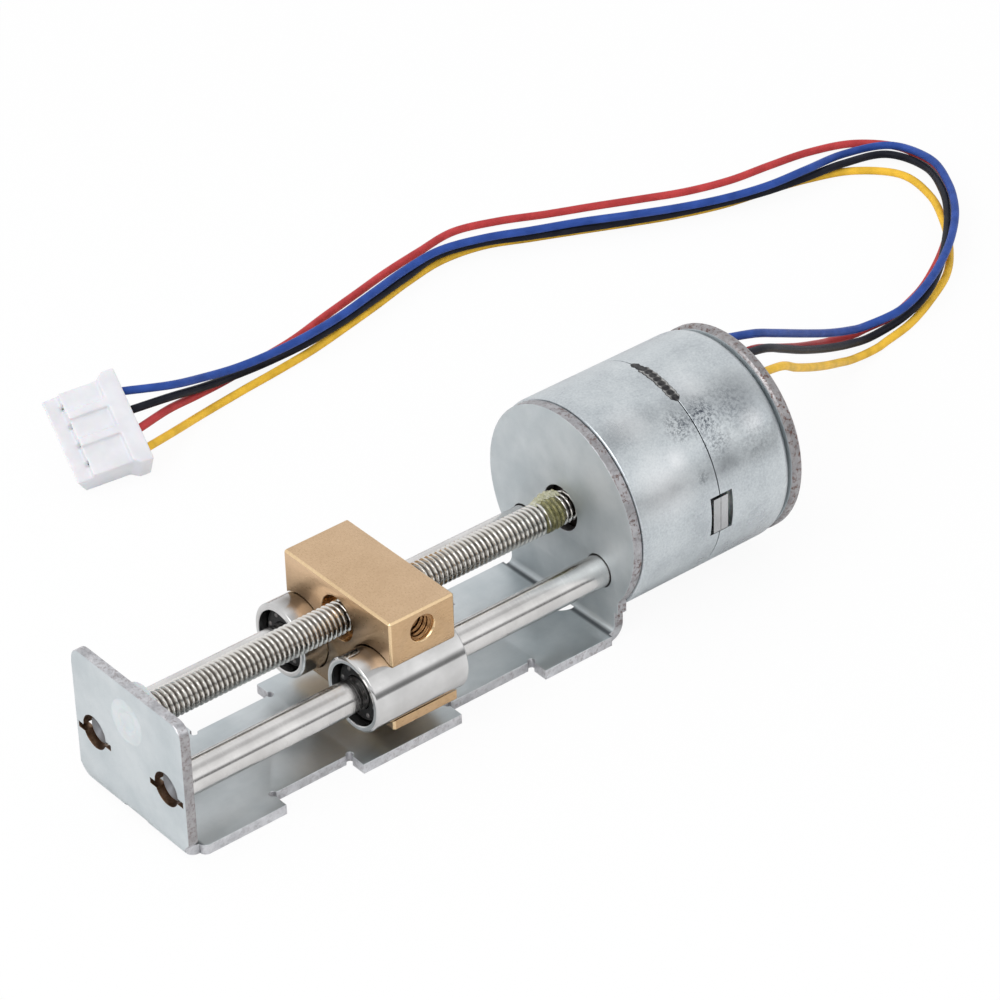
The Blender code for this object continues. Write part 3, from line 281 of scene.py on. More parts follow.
def softened(node, name, width, finishes, sort_face=None, segments=2):
    """Copy a CAD node, weld its loose triangles, melt flat facets together and round its edges."""
    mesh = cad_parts[node].data.copy()
    mesh.name = name
    mesh.materials.clear()
    shape = bmesh.new()
    shape.from_mesh(mesh)
    bmesh.ops.remove_doubles(shape, verts=shape.verts, dist=0.001 * MM)
    bmesh.ops.dissolve_limit(shape, angle_limit=math.radians(1.0), verts=shape.verts, edges=shape.edges)
    for face in shape.faces:
        face.smooth = True
        face.material_index = sort_face(face) if sort_face else 0
    shape.to_mesh(mesh)
    shape.free()
    return round_edges(collect(bpy.data.objects.new(name, mesh), *finishes), width, segments)


def fit(made, body, slot, *nodes):
    """Seat a piece on its body and hide the CAD nodes it stands for. The slot is not used."""
    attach(made, body)
    if nodes:
        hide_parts(*nodes)
    return made


def centre_of(node):
    """Middle of a CAD node's box."""
    low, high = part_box(node)
    return (Vector(low) + Vector(high)) / 2


print("surface helpers ready")

# %% [markdown]
# ## Where things are
#
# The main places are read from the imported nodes, so the pieces follow the solids if a size changes.

# %% Read the main places
bracket_low, bracket_high = (Vector(v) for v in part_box("bracket"))
FRONT_FACE = bracket_low.x
REAR_FACE = bracket_high.x
SHEET = 1.0 * MM
SCREW_AXIS = (0.0, centre_of("lead_screw").z)
ROD_LEFT = (centre_of("guide_rod_left").y, centre_of("guide_rod_left").z)
ROD_RIGHT = (centre_of("guide_rod_right").y, centre_of("guide_rod_right").z)
SEAM = (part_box("motor_front_cup")[1][0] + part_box("motor_rear_cup")[0][0]) / 2
MOTOR_RADIUS = (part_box("motor_front_cup")[1][2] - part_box("motor_front_cup")[0][2]) / 2
print("screw axis z", round(SCREW_AXIS[1] / MM, 3))
print("rods at y and z", [round(v / MM, 3) for v in (*ROD_LEFT, *ROD_RIGHT)])

# %% [markdown]
# ## The four leads
#
# Thin stranded wire with a PVC skin leaves the motor high at the back, falls to the table, runs round one
# loose loop and comes back to the plug. The route of each lead is a short list of points, given in
# millimetres, from the motor to the plug.

# %% Lead routes
LEAD_DIAMETER = 0.8 * MM
LEAD_LOWEST = LEAD_DIAMETER / 2 + 0.025 * MM
TUCK = 0.7 * MM
PLUG_AT = Vector((7.6, 43.8, 4.649)) * MM
PLUG_TURN = (Matrix.Rotation(math.radians(-14.3), 4, "Z") @ Matrix.Rotation(math.radians(-5.4), 4, "Y")
             @ Matrix.Rotation(math.radians(33.3), 4, "X"))
INTO_PLUG = -(PLUG_TURN.to_3x3() @ Vector((1, 0, 0)))
ROUTES = {
    "blue": [
        (44.6, 3.6, 17.00), (49.3, 4.2, 15.34), (53.4, 5.8, 12.87), (57.3, 7.6, 10.32), (61.2, 9.5, 7.74),
        (65.2, 11.3, 5.22), (69.0, 12.7, 3.18), (72.4, 13.7, 1.79), (76.4, 13.0, 2.31),
        (80.7, 14.1, 2.73), (84.9, 16.2, 2.91), (89.0, 19.0, 2.94), (92.7, 22.4, 2.94),
        (96.0, 26.8, 2.64), (98.3, 31.8, 2.31), (98.7, 38.0, 1.03), (93.5, 39.3, 1.51),
        (87.4, 38.4, 2.46), (82.5, 38.8, 2.34), (78.0, 40.3, 1.99), (73.4, 42.1, 1.93),
        (68.1, 43.4, 2.61), (64.4, 46.5, 1.93), (59.5, 48.2, 2.17), (54.7, 50.0, 2.37),
        (49.9, 51.1, 2.40), (45.1, 50.7, 2.20), (40.0, 49.2, 2.43), (35.3, 48.3, 2.19),
        (30.0, 47.1, 2.58), (25.5, 46.9, 2.59), (21.8, 47.1, 2.63), (17.6, 46.5, 3.67),
        (13.1, 45.3, 5.38), (8.4, 46.2, 6.32),
    ],
    "black": [
        (44.6, 1.0, 16.50), (49.0, 2.3, 14.80), (52.8, 4.1, 12.25), (56.6, 6.0, 9.58), (60.4, 8.0, 7.03),
        (64.3, 9.9, 4.63), (68.4, 11.6, 2.48), (72.7, 13.2, 0.69), (77.1, 13.4, 0.94), (81.0, 14.2, 1.63),
        (84.7, 16.3, 2.05), (88.4, 19.3, 2.17), (92.0, 22.7, 2.17), (95.1, 26.6, 2.11),
        (98.2, 32.3, 1.15), (97.5, 37.3, 0.76), (92.3, 38.2, 1.30), (87.3, 38.7, 1.30),
        (82.7, 39.7, 1.06), (77.9, 41.0, 1.06), (73.2, 42.6, 1.06), (68.7, 44.6, 1.06),
        (64.2, 46.7, 1.06), (59.7, 48.8, 1.12), (55.1, 50.8, 1.30), (50.3, 51.9, 1.30),
        (45.5, 50.8, 1.30), (40.6, 49.6, 1.33), (35.8, 48.5, 1.33), (30.9, 47.7, 1.36),
        (26.6, 48.5, 0.60), (21.8, 47.7, 1.39), (17.3, 46.5, 2.65), (12.9, 45.1, 4.26), (8.1, 44.5, 5.23),
    ],
    "red": [
        (44.6, 2.4, 15.60), (49.0, 3.8, 13.97), (52.8, 5.8, 11.51), (56.5, 7.9, 8.96), (60.2, 10.0, 6.44),
        (64.0, 12.1, 4.03), (67.9, 14.1, 1.75), (72.4, 14.9, 0.43), (77.3, 14.9, 0.43),
        (82.0, 16.3, 0.43), (85.6, 17.8, 1.15), (89.5, 20.4, 1.27), (93.3, 23.6, 1.27),
        (97.0, 28.0, 0.79), (99.6, 32.9, 0.43), (99.9, 37.7, 0.43), (96.9, 41.5, 0.43),
        (92.3, 43.3, 0.43), (87.4, 44.0, 0.43), (82.5, 44.5, 0.43), (77.7, 45.8, 0.43),
        (73.2, 47.8, 0.43), (68.7, 49.9, 0.43), (64.2, 51.9, 0.43), (59.7, 54.1, 0.43),
        (55.1, 55.5, 0.43), (50.2, 54.8, 0.43), (45.3, 53.9, 0.43), (40.5, 52.7, 0.43),
        (35.7, 51.5, 0.43), (30.9, 50.2, 0.43), (26.0, 49.4, 0.43), (21.2, 48.3, 0.80),
        (16.7, 46.6, 1.94), (12.3, 44.8, 3.24), (7.8, 42.9, 4.14),
    ],
    "yellow": [
        (44.6, -1.7, 15.90), (48.9, -0.1, 14.10), (52.5, 2.0, 11.36), (56.3, 4.1, 8.72),
        (60.1, 6.2, 6.23), (63.9, 8.4, 3.83), (67.9, 10.4, 1.61), (72.5, 11.7, 0.43), (77.4, 12.7, 0.43),
        (82.1, 14.6, 0.43), (86.5, 17.0, 0.43), (90.1, 20.4, 0.43), (93.1, 24.4, 0.43),
        (95.5, 28.8, 0.43), (96.2, 33.7, 0.43), (93.1, 37.5, 0.43), (88.5, 39.4, 0.43),
        (83.6, 40.5, 0.43), (78.7, 41.4, 0.43), (73.9, 43.0, 0.43), (69.4, 45.0, 0.43),
        (64.8, 47.2, 0.43), (60.3, 49.3, 0.43), (55.7, 51.4, 0.43), (50.8, 52.0, 0.43),
        (45.8, 51.1, 0.43), (41.0, 49.8, 0.43), (36.1, 48.6, 0.43), (31.2, 47.5, 0.43),
        (26.3, 46.8, 0.43), (21.3, 46.2, 0.43), (16.4, 45.2, 0.71), (11.9, 43.2, 1.84), (7.5, 41.2, 3.04),
    ],
}
INSULATION = {
    "blue": (0.026, 0.070, 0.30),
    "black": (0.010, 0.011, 0.018),
    "red": (0.46, 0.050, 0.052),
    "yellow": (0.80, 0.48, 0.045),
}


print("lead routes:", {colour_name: len(points) for colour_name, points in ROUTES.items()})

# %% [markdown]
# ## Skin of the leads
#
# A cord is a tube along a smooth curve, so the route's few points are read through a cubic curve that
# passes through all of them, and a circle is carried along it. The skin is satin PVC.

# %% Skin the leads
def smooth_route(points, spacing=0.5 * MM):
    """Cubic curve through the points, its slope at each the mean of the two spans beside it, kept off the
    table and read at even steps of length."""
    route = np.array(points) * MM
    padded = np.vstack([2 * route[0] - route[1], route, 2 * route[-1] - route[-2]])
    a, b, c, d = (padded[k:len(padded) - 3 + k, None, :] for k in range(4))
    t = np.linspace(0.0, 1.0, 24, endpoint=False)[None, :, None]
    bend = (2 * a - 5 * b + 4 * c - d) * t ** 2 + (3 * b - a - 3 * c + d) * t ** 3
    spans = 0.5 * (2 * b + (c - a) * t + bend)
    fine = np.vstack([spans.reshape(-1, 3), route[-1:]])
    fine[:, 2] = np.maximum(fine[:, 2], LEAD_LOWEST)
    fine = np.vstack([fine[0] - (TUCK, 0, 0), fine, fine[-1] + np.array(INTO_PLUG) * (TUCK + 0.3 * MM)])
    travelled = np.concatenate([[0.0], np.cumsum(np.linalg.norm(np.diff(fine, axis=0), axis=1))])
    wanted = np.linspace(0.0, travelled[-1], int(travelled[-1] / spacing))
    return np.column_stack([np.interp(wanted, travelled, fine[:, k]) for k in range(3)])


def tube(path, radius, sides=16):
    """Carry a circle along a path. A point is the path's point plus the radius times cosine of the
    angle sideways and sine of the angle upwards; the first and last rings shrink to a point."""
    ahead = np.gradient(path, axis=0)
    ahead /= np.linalg.norm(ahead, axis=1)[:, None]
    sideways = np.cross(ahead, (0.0, 0.0, 1.0))
    sideways /= np.linalg.norm(sideways, axis=1)[:, None]
    upwards = np.cross(sideways, ahead)
    angle = np.linspace(0.0, 2 * np.pi, sides + 1)[None, :, None]
    body = path[:, None] + radius * (np.cos(angle) * sideways[:, None] + np.sin(angle) * upwards[:, None])
    first = np.broadcast_to(path[0], body[:1].shape)
    last = np.broadcast_to(path[-1], body[-1:].shape)
    return np.concatenate([first, body, last])


def insulation(colour_name):
    """PVC skin: satin, faintly mottled and slightly uneven."""
    colour = INSULATION[colour_name]
    made, shader = finish("insulation_" + colour_name, colour, 0.0, 0.5, Specular_IOR_Level=0.10)
    place = place_of(made)
    cloud = noise(made, place, 0.6, 3.0)
    pale = tuple(min(1.0, c * 1.22 + 0.006) for c in colour)
    deep = tuple(c * 0.86 for c in colour)
    join(made, ramp(made, cloud, (0.3, deep), (0.72, pale)), shader.inputs["Base Color"])
    join(made, between(made, noise(made, place, 5.0), 0.3, 0.7, 0.34, 0.50), shader.inputs["Roughness"])
    relief(made, shader, noise(made, place, 3.0, 4.0), 0.012, 0.5)
    return made


lead_paths = {}
for colour_name in ROUTES:
    lead_paths[colour_name] = smooth_route(ROUTES[colour_name])
    lead = skin("wire_" + colour_name, tube(lead_paths[colour_name], LEAD_DIAMETER / 2),
                insulation(colour_name), sharp_deg=60)
    fit(lead, "frame", "lead_" + colour_name, "lead_" + colour_name)
    steps = np.diff(lead_paths[colour_name], axis=0)
    print(colour_name, "lead", round(float(np.linalg.norm(steps, axis=1).sum()) / MM, 1), "mm long")

# %% [markdown]
#

# %% [markdown]
# ## Table and light
#
# The picture is a plain product shot on white. Bright metal is nothing but its reflections, so the
# light matters as much as the metal: a white table below, a soft bright ceiling, and a dimmer band near
# the horizon that draws the dark stripe along the round motor. Two soft lamps give the faint shadow.

# %% Table, sky and lamps
def table():
    """A wide white table. Seen directly it glows a little, which keeps it white under the shadow."""
    made = bpy.data.materials.new("white_table")
    made.use_nodes = True
    tree = made.node_tree
    tree.nodes.clear()
    paper = add(made, "BsdfDiffuse", Color=(0.86, 0.86, 0.86, 1))
    glow = add(made, "Emission", Color=(1, 1, 1, 1), Strength=1.0)
    seen = maths(made, "MULTIPLY", add(made, "LightPath").outputs["Is Camera Ray"], 0.93)
    blend = add(made, "MixShader", Fac=seen, i1=paper.outputs[0], i2=glow.outputs[0])
    join(made, blend.outputs[0], add(made, "OutputMaterial").inputs["Surface"])
    reach = 3.0
    mesh = bpy.data.meshes.new("table_top")
    mesh.from_pydata([(-reach, -reach, 0), (reach, -reach, 0), (reach, reach, 0), (-reach, reach, 0)], [],
                     [(0, 1, 2, 3)])
    return collect(bpy.data.objects.new("table_top", mesh), made)


STUDIO_BANDS = (
    (0.0, 1.0), (20.0, 0.95), (45.0, 0.90), (60.0, 0.92), (75.0, 1.0), (88.0, 0.74), (100.0, 0.64),
    (110.0, 0.70), (120.0, 0.72), (140.0, 0.84), (153.0, 0.92), (161.0, 0.75), (168.0, 0.32), (175.0, 0.22),
    (180.0, 0.50),
)


def sky():
    """A soft studio. The brightness follows the angle of a direction about the X axis, from the far
    horizon over the top to the near horizon: two bright panels, with dark gaps beside and between them."""
    made = bpy.data.worlds.new("soft_studio")
    made.use_nodes = True
    toward = add(made, "SeparateXYZ", Vector=add(made, "TexCoord").outputs["Generated"])
    angle = maths(made, "DIVIDE", maths(made, "ARCTAN2", toward.outputs["Z"], toward.outputs["Y"]), math.pi)
    bands = [(degrees / 180, (grey, grey * 1.005, grey * 1.015)) for degrees, grey in STUDIO_BANDS]
    room = made.node_tree.nodes["Background"]
    room.inputs["Strength"].default_value = 1.0
    join(made, ramp(made, angle, *bands), room.inputs["Color"])
    plain = add(made, "Background", Color=(1, 1, 1, 1))
    choose = add(made, "MixShader", Fac=add(made, "LightPath").outputs["Is Camera Ray"], i1=room.outputs[0],
                 i2=plain.outputs[0])
    join(made, choose.outputs[0], made.node_tree.nodes["World Output"].inputs["Surface"])
    bpy.context.scene.world = made


def lamp(name, place, target, size, power):
    """A square soft box that looks at a target."""
    data = bpy.data.lights.new(name, "AREA")
    data.size = size
    data.energy = power
    made = bpy.data.objects.new(name, data)
    bpy.context.scene.collection.objects.link(made)
    aim = (Vector(target) - Vector(place)).to_track_quat("-Z", "Y").to_matrix().to_4x4()
    made.matrix_world = Matrix.Translation(place) @ aim
    return made


table()
sky()
lamp("key_softbox", (-0.34, -0.14, 0.46), (0.01, 0.0, 0.01), 0.50, 1.70)
lamp("fill_softbox", (0.30, -0.45, 0.42), (0.01, 0.0, 0.01), 0.50, 0.20)
print("table, sky and two lamps placed")

# %% [markdown]
# ## Colours
#
# Colours are written as the eye reads them, from 0 to 255 per channel, and turned into linear light.
# Hardly any real surface has one even colour, so most finishes drift round a tone.

# %% Colour helpers
def tone(red, green, blue):
    """A colour from 0 to 255 per channel, as linear light: ((c / 255 + 0.055) / 1.055) ** 2.4."""
    c = (np.array([red, green, blue]) / 255 + 0.055) / 1.055
    return tuple(float(v) for v in c ** 2.4)


def drifting(made, value, colour, down, up, low=0.35, high=0.65):
    """A tone that drifts with a value, from a little deeper to a little paler."""
    deep = tuple(max(0, c - down) for c in colour)
    pale = tuple(min(255, c + up) for c in colour)
    return ramp(made, value, (low, tone(*deep)), (high, tone(*pale)))


print("white as linear light:", tone(255, 255, 255))

# %% [markdown]
# ## Zinc plate and its cut edges
#
# The folded sheet is zinc plated and cloudy. Its sheared edges show rougher, browner steel where the
# plating is thin, and most of it at the motor's end. The same finish with other numbers serves the
# cover's rim, the punched holes and the small balls.

# %% Plated and torn steel
BEND_LINE = 22.25
BARE_BROWN = tone(114, 86, 79)


def zinc_sheet():
    """Plated sheet: soft grey clouds, tiny pores and a faint rolling grain, with painted shade, a dark
    line, low in each bend. The round upright is duller than the rest."""
    made, shader = finish("zinc_plated_sheet", tone(196, 204, 208), 1.0, 0.36)
    place = place_of(made)
    cloud = noise(made, place, 0.22, 4.0)
    tint = ramp(made, cloud, (0.35, tone(194, 201, 204)), (0.65, tone(210, 215, 217)))
    pores = ramp(made, noise(made, place, 7.0, 2.0), (0.68, 0.0), (0.76, 1.0))
    soft = maths(made, "MULTIPLY", pores, 0.35)
    plated = mix(made, soft, tint, (*tone(150, 148, 146), 1))
    along = add(made, "SeparateXYZ", Vector=place)
    outward = maths(made, "ABSOLUTE", along.outputs["X"])
    from_bend = maths(made, "ABSOLUTE", maths(made, "SUBTRACT", outward, BEND_LINE))
    low = between(made, along.outputs["Z"], 1.2, 1.6, 0.8, 0.0)
    # Painted shade: a dark line painted low in each bend, where the crease lies in shade.
    bend_shade = maths(made, "MULTIPLY", between(made, from_bend, 0.10, 0.36, 1.0, 0.0), low)
    join(made, mix(made, bend_shade, plated, (*tone(70, 74, 78), 1)), shader.inputs["Base Color"])
    grain = noise(made, place_of(made, stretch=(0.3, 6.0, 6.0)), 1.6, 3.0)
    dull = between(made, along.outputs["X"], 20.8, 21.6, 0.0, 0.22)
    worked = between(made, grain, 0.3, 0.7, 0.30, 0.44)
    join(made, maths(made, "ADD", worked, dull), shader.inputs["Roughness"])
    relief(made, shader, noise(made, place, 2.2, 4.0), 0.004, 0.6)
    return made


def sheared_edge(name, colour, specked=0.85, reach=0.45):
    """Cut edge of the sheet: pale where the blade burnished it, paler still along the base with painted
    light, and brown specks where it tore, mostly towards the motor. specked is the most that specks cover,
    reach the number of speckled stretches per millimetre."""
    made, shader = finish(name, tone(*colour), 1.0, 0.42)
    place = place_of(made)
    cloud = noise(made, place, 0.9, 5.0, 0.7)
    deep = tuple(c - 30 for c in colour)
    pale = tuple(min(255, c + 26) for c in colour)
    tint = ramp(made, cloud, (0.32, tone(*deep)), (0.5, tone(*colour)), (0.72, tone(*pale)))
    specks = ramp(made, noise(made, place, 2.6, 6.0, 0.75), (0.50, 0.0), (0.60, 1.0))
    patches = ramp(made, noise(made, place, reach, 3.0), (0.38, 0.20), (0.53, specked))
    along = add(made, "SeparateXYZ", Vector=place)
    toward_motor = between(made, along.outputs["X"], -20.0, 20.0, 0.45, 1.0)
    by_motor = between(made, along.outputs["X"], 19.0, 21.5, 0.0, 0.40)
    tint = mix(made, by_motor, tint, (*tone(132, 129, 131), 1))
    worn = maths(made, "MULTIPLY", maths(made, "MULTIPLY", specks, patches), toward_motor)
    base = between(made, along.outputs["Z"], 1.0, 1.4, 1.0, 0.0)
    # Painted light: the cut edges along the base sit low and in shade, so their colour is lifted towards
    # white.
    with_painted_light = mix(made, maths(made, "MULTIPLY", base, 0.35), tint, (*tone(240, 241, 244), 1))
    side = maths(made, "MULTIPLY", between(made, along.outputs["X"], -22.7, -22.5, 1.0, 0.0),
                 between(made, maths(made, "ABSOLUTE", along.outputs["Y"]), 7.55, 7.7, 0.0, 0.55))
    with_painted_light = mix(made, side, with_painted_light, (*tone(138, 133, 132), 1))
    worn = maths(made, "MULTIPLY", worn, maths(made, "SUBTRACT", 1.0, maths(made, "MULTIPLY", base, 0.65)))
    join(made, mix(made, worn, with_painted_light, (*BARE_BROWN, 1)), shader.inputs["Base Color"])
    join(made, between(made, specks, 0.0, 1.0, 0.36, 0.66), shader.inputs["Roughness"])
    relief(made, shader, noise(made, place, 3.0, 5.0, 0.65), 0.02, 0.7)
    return made


ZINC = zinc_sheet()
EDGE = sheared_edge("sheared_edge", (196, 196, 199))
COVER_EDGE = sheared_edge("cover_edge", (178, 176, 177), 1.0, 0.30)
BARE_HOLE = sheared_edge("bare_punched_steel", (118, 94, 74), 1.0, 0.8)
BALL_STEEL = sheared_edge("ball_steel", (120, 118, 117), 0.3, 2.0)
print("plate finishes:", [made.name for made in (ZINC, EDGE, COVER_EDGE, BARE_HOLE, BALL_STEEL)])

# %% [markdown]
# ## Ground and rolled steel
#
# Ground bar has very fine rings round it, which pull its reflections out into sharp lines along the bar.
# The thread is rolled, so its crests are bright, and its grooves are painted darker, as painted shade.

# %% Bright steel
def ground_steel(name, colour, roughness=0.16, sawn_end=0.0, shaded_to=None):
    """Bright steel, ground round its own axis along X: fine rings, hardly any colour. Past sawn_end, in
    millimetres from the middle, lies the dull sawn face. Painted shade, a painted dark reflection of the
    shaded brass front, darkens the upper side of the last two millimetres before shaded_to."""
    made, shader = finish(name, tone(*colour), 1.0, roughness, Anisotropic=0.8, Anisotropic_Rotation=0.25)
    ground_round = add(made, "Tangent", {"direction_type": "RADIAL", "axis": "X"})
    join(made, ground_round.outputs[0], shader.inputs["Tangent"])
    rings = noise(made, place_of(made, stretch=(30.0, 0.5, 0.5)), 1.0, 2.0)
    body = drifting(made, noise(made, place_of(made), 0.35, 3.0), colour, 8, 8)
    if sawn_end:
        along = maths(made, "ABSOLUTE", add(made, "SeparateXYZ", Vector=place_of(made)).outputs["X"])
        cut = between(made, along, sawn_end - 0.16, sawn_end - 0.10)
        body = mix(made, cut, body, (*tone(152, 154, 158), 1))
        rings = maths(made, "ADD", rings, cut)
    # Painted shade: a dark brownish patch on the sleeve's top before the carriage stands in for the
    # reflection of its shaded front.
    if shaded_to is not None:
        spot = add(made, "SeparateXYZ", Vector=place_of(made))
        before = maths(made, "MULTIPLY", between(made, spot.outputs["X"], shaded_to - 2.3, shaded_to - 1.1),
                       between(made, spot.outputs["X"], shaded_to, shaded_to + 0.2, 1.0, 0.0))
        before = maths(made, "MULTIPLY", before, between(made, spot.outputs["Z"], 7.2, 8.3, 0.0, 0.8))
        inward = between(made, maths(made, "ABSOLUTE", spot.outputs["Y"]), 5.6, 7.2, 1.0, 0.0)
        body = mix(made, maths(made, "MULTIPLY", before, inward), body, (*tone(120, 112, 104), 1))
    join(made, body, shader.inputs["Base Color"])
    join(made, between(made, rings, 0.25, 1.25, roughness * 0.75, roughness * 1.35 + 0.45 * bool(sawn_end)),
         shader.inputs["Roughness"])
    relief(made, shader, rings, 0.004, 0.5)
    return made


def from_axis(made, axis_height):
    """Distance in millimetres from an axis along X at a height above the table."""
    place = place_of(made, centre=(0, 0, axis_height))
    outward = add(made, "VectorMath", {"operation": "MULTIPLY"}, i0=place, i1=(0, 1, 1)).outputs[0]
    return add(made, "VectorMath", {"operation": "LENGTH"}, i0=outward).outputs["Value"]


def rolled_steel(name, groove, crest, axis_height, inner, outer):
    """Rolled thread: bright on the crests, and painted darker down in the grooves as painted shade. The
    distance from the thread's own axis tells one from the other."""
    made, shader = finish(name, tone(*crest), 1.0, 0.14)
    depth = between(made, from_axis(made, axis_height), inner, outer)
    cloud = noise(made, place_of(made), 0.8, 4.0)
    both = maths(made, "ADD", maths(made, "MULTIPLY", depth, 0.85), maths(made, "MULTIPLY", cloud, 0.3))
    # Painted shade: the colour darkens with depth, from the crests down into the grooves.
    join(made, ramp(made, both, (0.12, tone(*groove)), (0.92, tone(*crest))), shader.inputs["Base Color"])
    join(made, between(made, depth, 0.0, 1.0, 0.24, 0.09), shader.inputs["Roughness"])
    relief(made, shader, noise(made, place_of(made, stretch=(1.0, 6.0, 6.0)), 1.0, 3.0), 0.002, 0.5)
    return made


ROD_STEEL = ground_steel("ground_rod_steel", (214, 212, 210), 0.09, 23.2)
SCREW_STEEL = rolled_steel("rolled_thread_steel", (104, 98, 92), (222, 219, 214), 10.5, 1.2, 1.44)
SLEEVE_STEEL = ground_steel("bearing_sleeve_steel", (208, 207, 206), 0.13,
                            shaded_to=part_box("slider_block")[0][0] / MM)
print("steel finishes:", [made.name for made in (ROD_STEEL, SCREW_STEEL, SLEEVE_STEEL)])

# %% [markdown]
# ## Brass
#
# The carriage is machined with a fine cutter. Its top, its sides, its chamfers with a painted highlight and
# its front with painted shade towards its foot differ a little in tone and shine, so each gets its own
# brass.

# %% Brasses
def machined_brass(name, colour, stretch, roughness=0.30, shaded_foot=1.0):
    """Brass with the cutter's fine strokes. The stretch is small along the strokes. With shaded_foot below
    1, a face gets painted shade, darker towards its foot under the screw."""
    made, shader = finish(name, tone(*colour), 1.0, roughness)
    strokes = noise(made, place_of(made, stretch=stretch), 1.0, 4.0, 0.6)
    cloud = noise(made, place_of(made), 0.3, 3.0)
    both = maths(made, "ADD", maths(made, "MULTIPLY", strokes, 0.6), maths(made, "MULTIPLY", cloud, 0.4))
    body = drifting(made, both, colour, 10, 9, 0.34, 0.66)
    if shaded_foot < 1:
        # Painted shade: the face darkens towards its foot, which lies in shade under the screw.
        upward = add(made, "SeparateXYZ", Vector=place_of(made)).outputs["Z"]
        shade = between(made, upward, 9.0, 13.0, shaded_foot, 1.0)
        foot_shade = add(made, "CombineColor", Red=shade, Green=shade, Blue=shade).outputs[0]
        body = mix(made, 1.0, body, foot_shade, "MULTIPLY")
    join(made, body, shader.inputs["Base Color"])
    join(made, between(made, strokes, 0.3, 0.7, roughness * 0.8, roughness * 1.3),
         shader.inputs["Roughness"])
    relief(made, shader, strokes, 0.0015, 0.5)
    return made


BRASS_TOP = machined_brass("brass_milled_top", (210, 179, 144), (6.0, 4.0, 4.0))
BRASS_SIDE = machined_brass("brass_milled_side", (200, 167, 129), (2.0, 2.0, 7.0))
# The front face gets painted shade towards its foot.
BRASS_FRONT = machined_brass("brass_front_face", (214, 180, 142), (3.0, 3.0, 7.0), 0.32, 0.45)
# Painted highlight: the chamfers get a paler brass, so their edges read as lit.
BRASS_PAINTED_HIGHLIGHT = machined_brass("brass_painted_highlight", (234, 204, 162), (4.0, 4.0, 4.0), 0.22)
# Painted shade: the tapped hole's brass is darker, as shade inside the hole.
BRASS_SHADED_HOLE = machined_brass("brass_tapped_hole", (160, 122, 84), (4.0, 4.0, 4.0), 0.24)
BRASSES = (BRASS_TOP, BRASS_SIDE, BRASS_PAINTED_HIGHLIGHT, BRASS_FRONT)
print("brass finishes:", [made.name for made in BRASSES])

# %% [markdown]
# ## The bracket
#
# One strip of 1 mm sheet is blanked to three outlines and bent up at both ends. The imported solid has
# the exact outlines, so its copy is merged and every edge gets the small radius that blanking and
# plating leave. The front upright's outline, where the blank was pressed in, is rounded most. Sheared
# faces take the rougher finish, and the punched rod holes are bare brown steel.

# %% Dress the bracket
def sheet_or_edge(face):
    """0 for the rolled faces of the sheet and its bends, 1 for cut faces, 2 for the bare punched holes."""
    n = face.normal
    c = face.calc_center_median()
    flat = abs(n.z) > 0.99 and (c.z < 0.02 * MM or abs(c.z - SHEET) < 0.02 * MM)
    off_faces = min(abs(abs(c.x) - REAR_FACE), abs(abs(c.x) - REAR_FACE + SHEET))
    upright = abs(n.x) > 0.99 and off_faces < 0.02 * MM
    bend = abs(n.y) < 0.02 and abs(c.x) > 21.2 * MM and c.z < 1.65 * MM
    from_rod = min(math.dist((c.y, c.z), ROD_LEFT), math.dist((c.y, c.z), ROD_RIGHT))
    if c.x < -22.0 * MM and from_rod < 2.6 * MM and not upright:
        return 2
    return 0 if flat or upright or bend else 1


def weigh_edges(made, wide, narrow, is_wide):
    """Round the sharp edges: wide where the test on an edge's middle says so, narrow elsewhere, and never
    by more than a share of the shortest edge that meets it."""
    shape = bmesh.new()
    shape.from_mesh(made.data)
    bmesh.ops.remove_doubles(shape, verts=shape.verts, dist=0.02 * MM)
    weight = shape.edges.layers.float.new("bevel_weight_edge")
    for edge in shape.edges:
        if len(edge.link_faces) == 2 and edge.calc_face_angle() > SHARP:
            room = min(other.calc_length() for vertex in edge.verts for other in vertex.link_edges)
            middle = (edge.verts[0].co + edge.verts[1].co) / 2
            edge[weight] = (min(wide, 0.85 * room) if is_wide(middle) else min(narrow, 0.45 * room)) / wide
    shape.to_mesh(made.data)
    shape.free()
    rounded_off = round_edges(made, wide, 4).modifiers["rounded_edges"]
    rounded_off.limit_method = "WEIGHT"
    rounded_off.use_clamp_overlap = False


def front_outline(middle):
    """The outer outline of the front upright's outer face, where the blank was pressed in."""
    outer = middle.z > 13.0 * MM or abs(middle.y) > 7.6 * MM
    return middle.x < FRONT_FACE + 0.02 * MM and outer and middle.z > 2.0 * MM


bracket = softened("bracket", "folded_bracket", 0.0, (ZINC, EDGE, BARE_HOLE), sheet_or_edge)
weigh_edges(bracket, 0.16 * MM, 0.07 * MM, front_outline)
fit(bracket, "frame", "zinc_sheet", "bracket")
print("bracket faces:", len(bracket.data.polygons))

# %% [markdown]
# ## Rods and front bush
#
# The two guide rods are ground bar with a small chamfer, turned profiles about their own axes. The
# white bush in the front upright is a moulded acetal plug that carries the tip of the screw.

# %% Turn the rods and the bush
def rod(name, node, axis):
    """Ground rod: straight wall, rounded chamfers and flat ends."""
    low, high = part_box(node)
    r = (high[1] - low[1]) / 2
    c = 0.2 * MM
    corners = [(low[0], 0.0), (low[0], r - c), (low[0] + c, r)]
    corners += [(high[0] - c, r), (high[0], r - c), (high[0], 0.0)]
    made = skin(name, lathe(rounded(corners, 0.06 * MM), axis), ROD_STEEL)
    return fit(made, "frame", "bright_steel", node)


rod("guide_bar_left", "guide_rod_left", ROD_LEFT)
rod("guide_bar_right", "guide_rod_right", ROD_RIGHT)


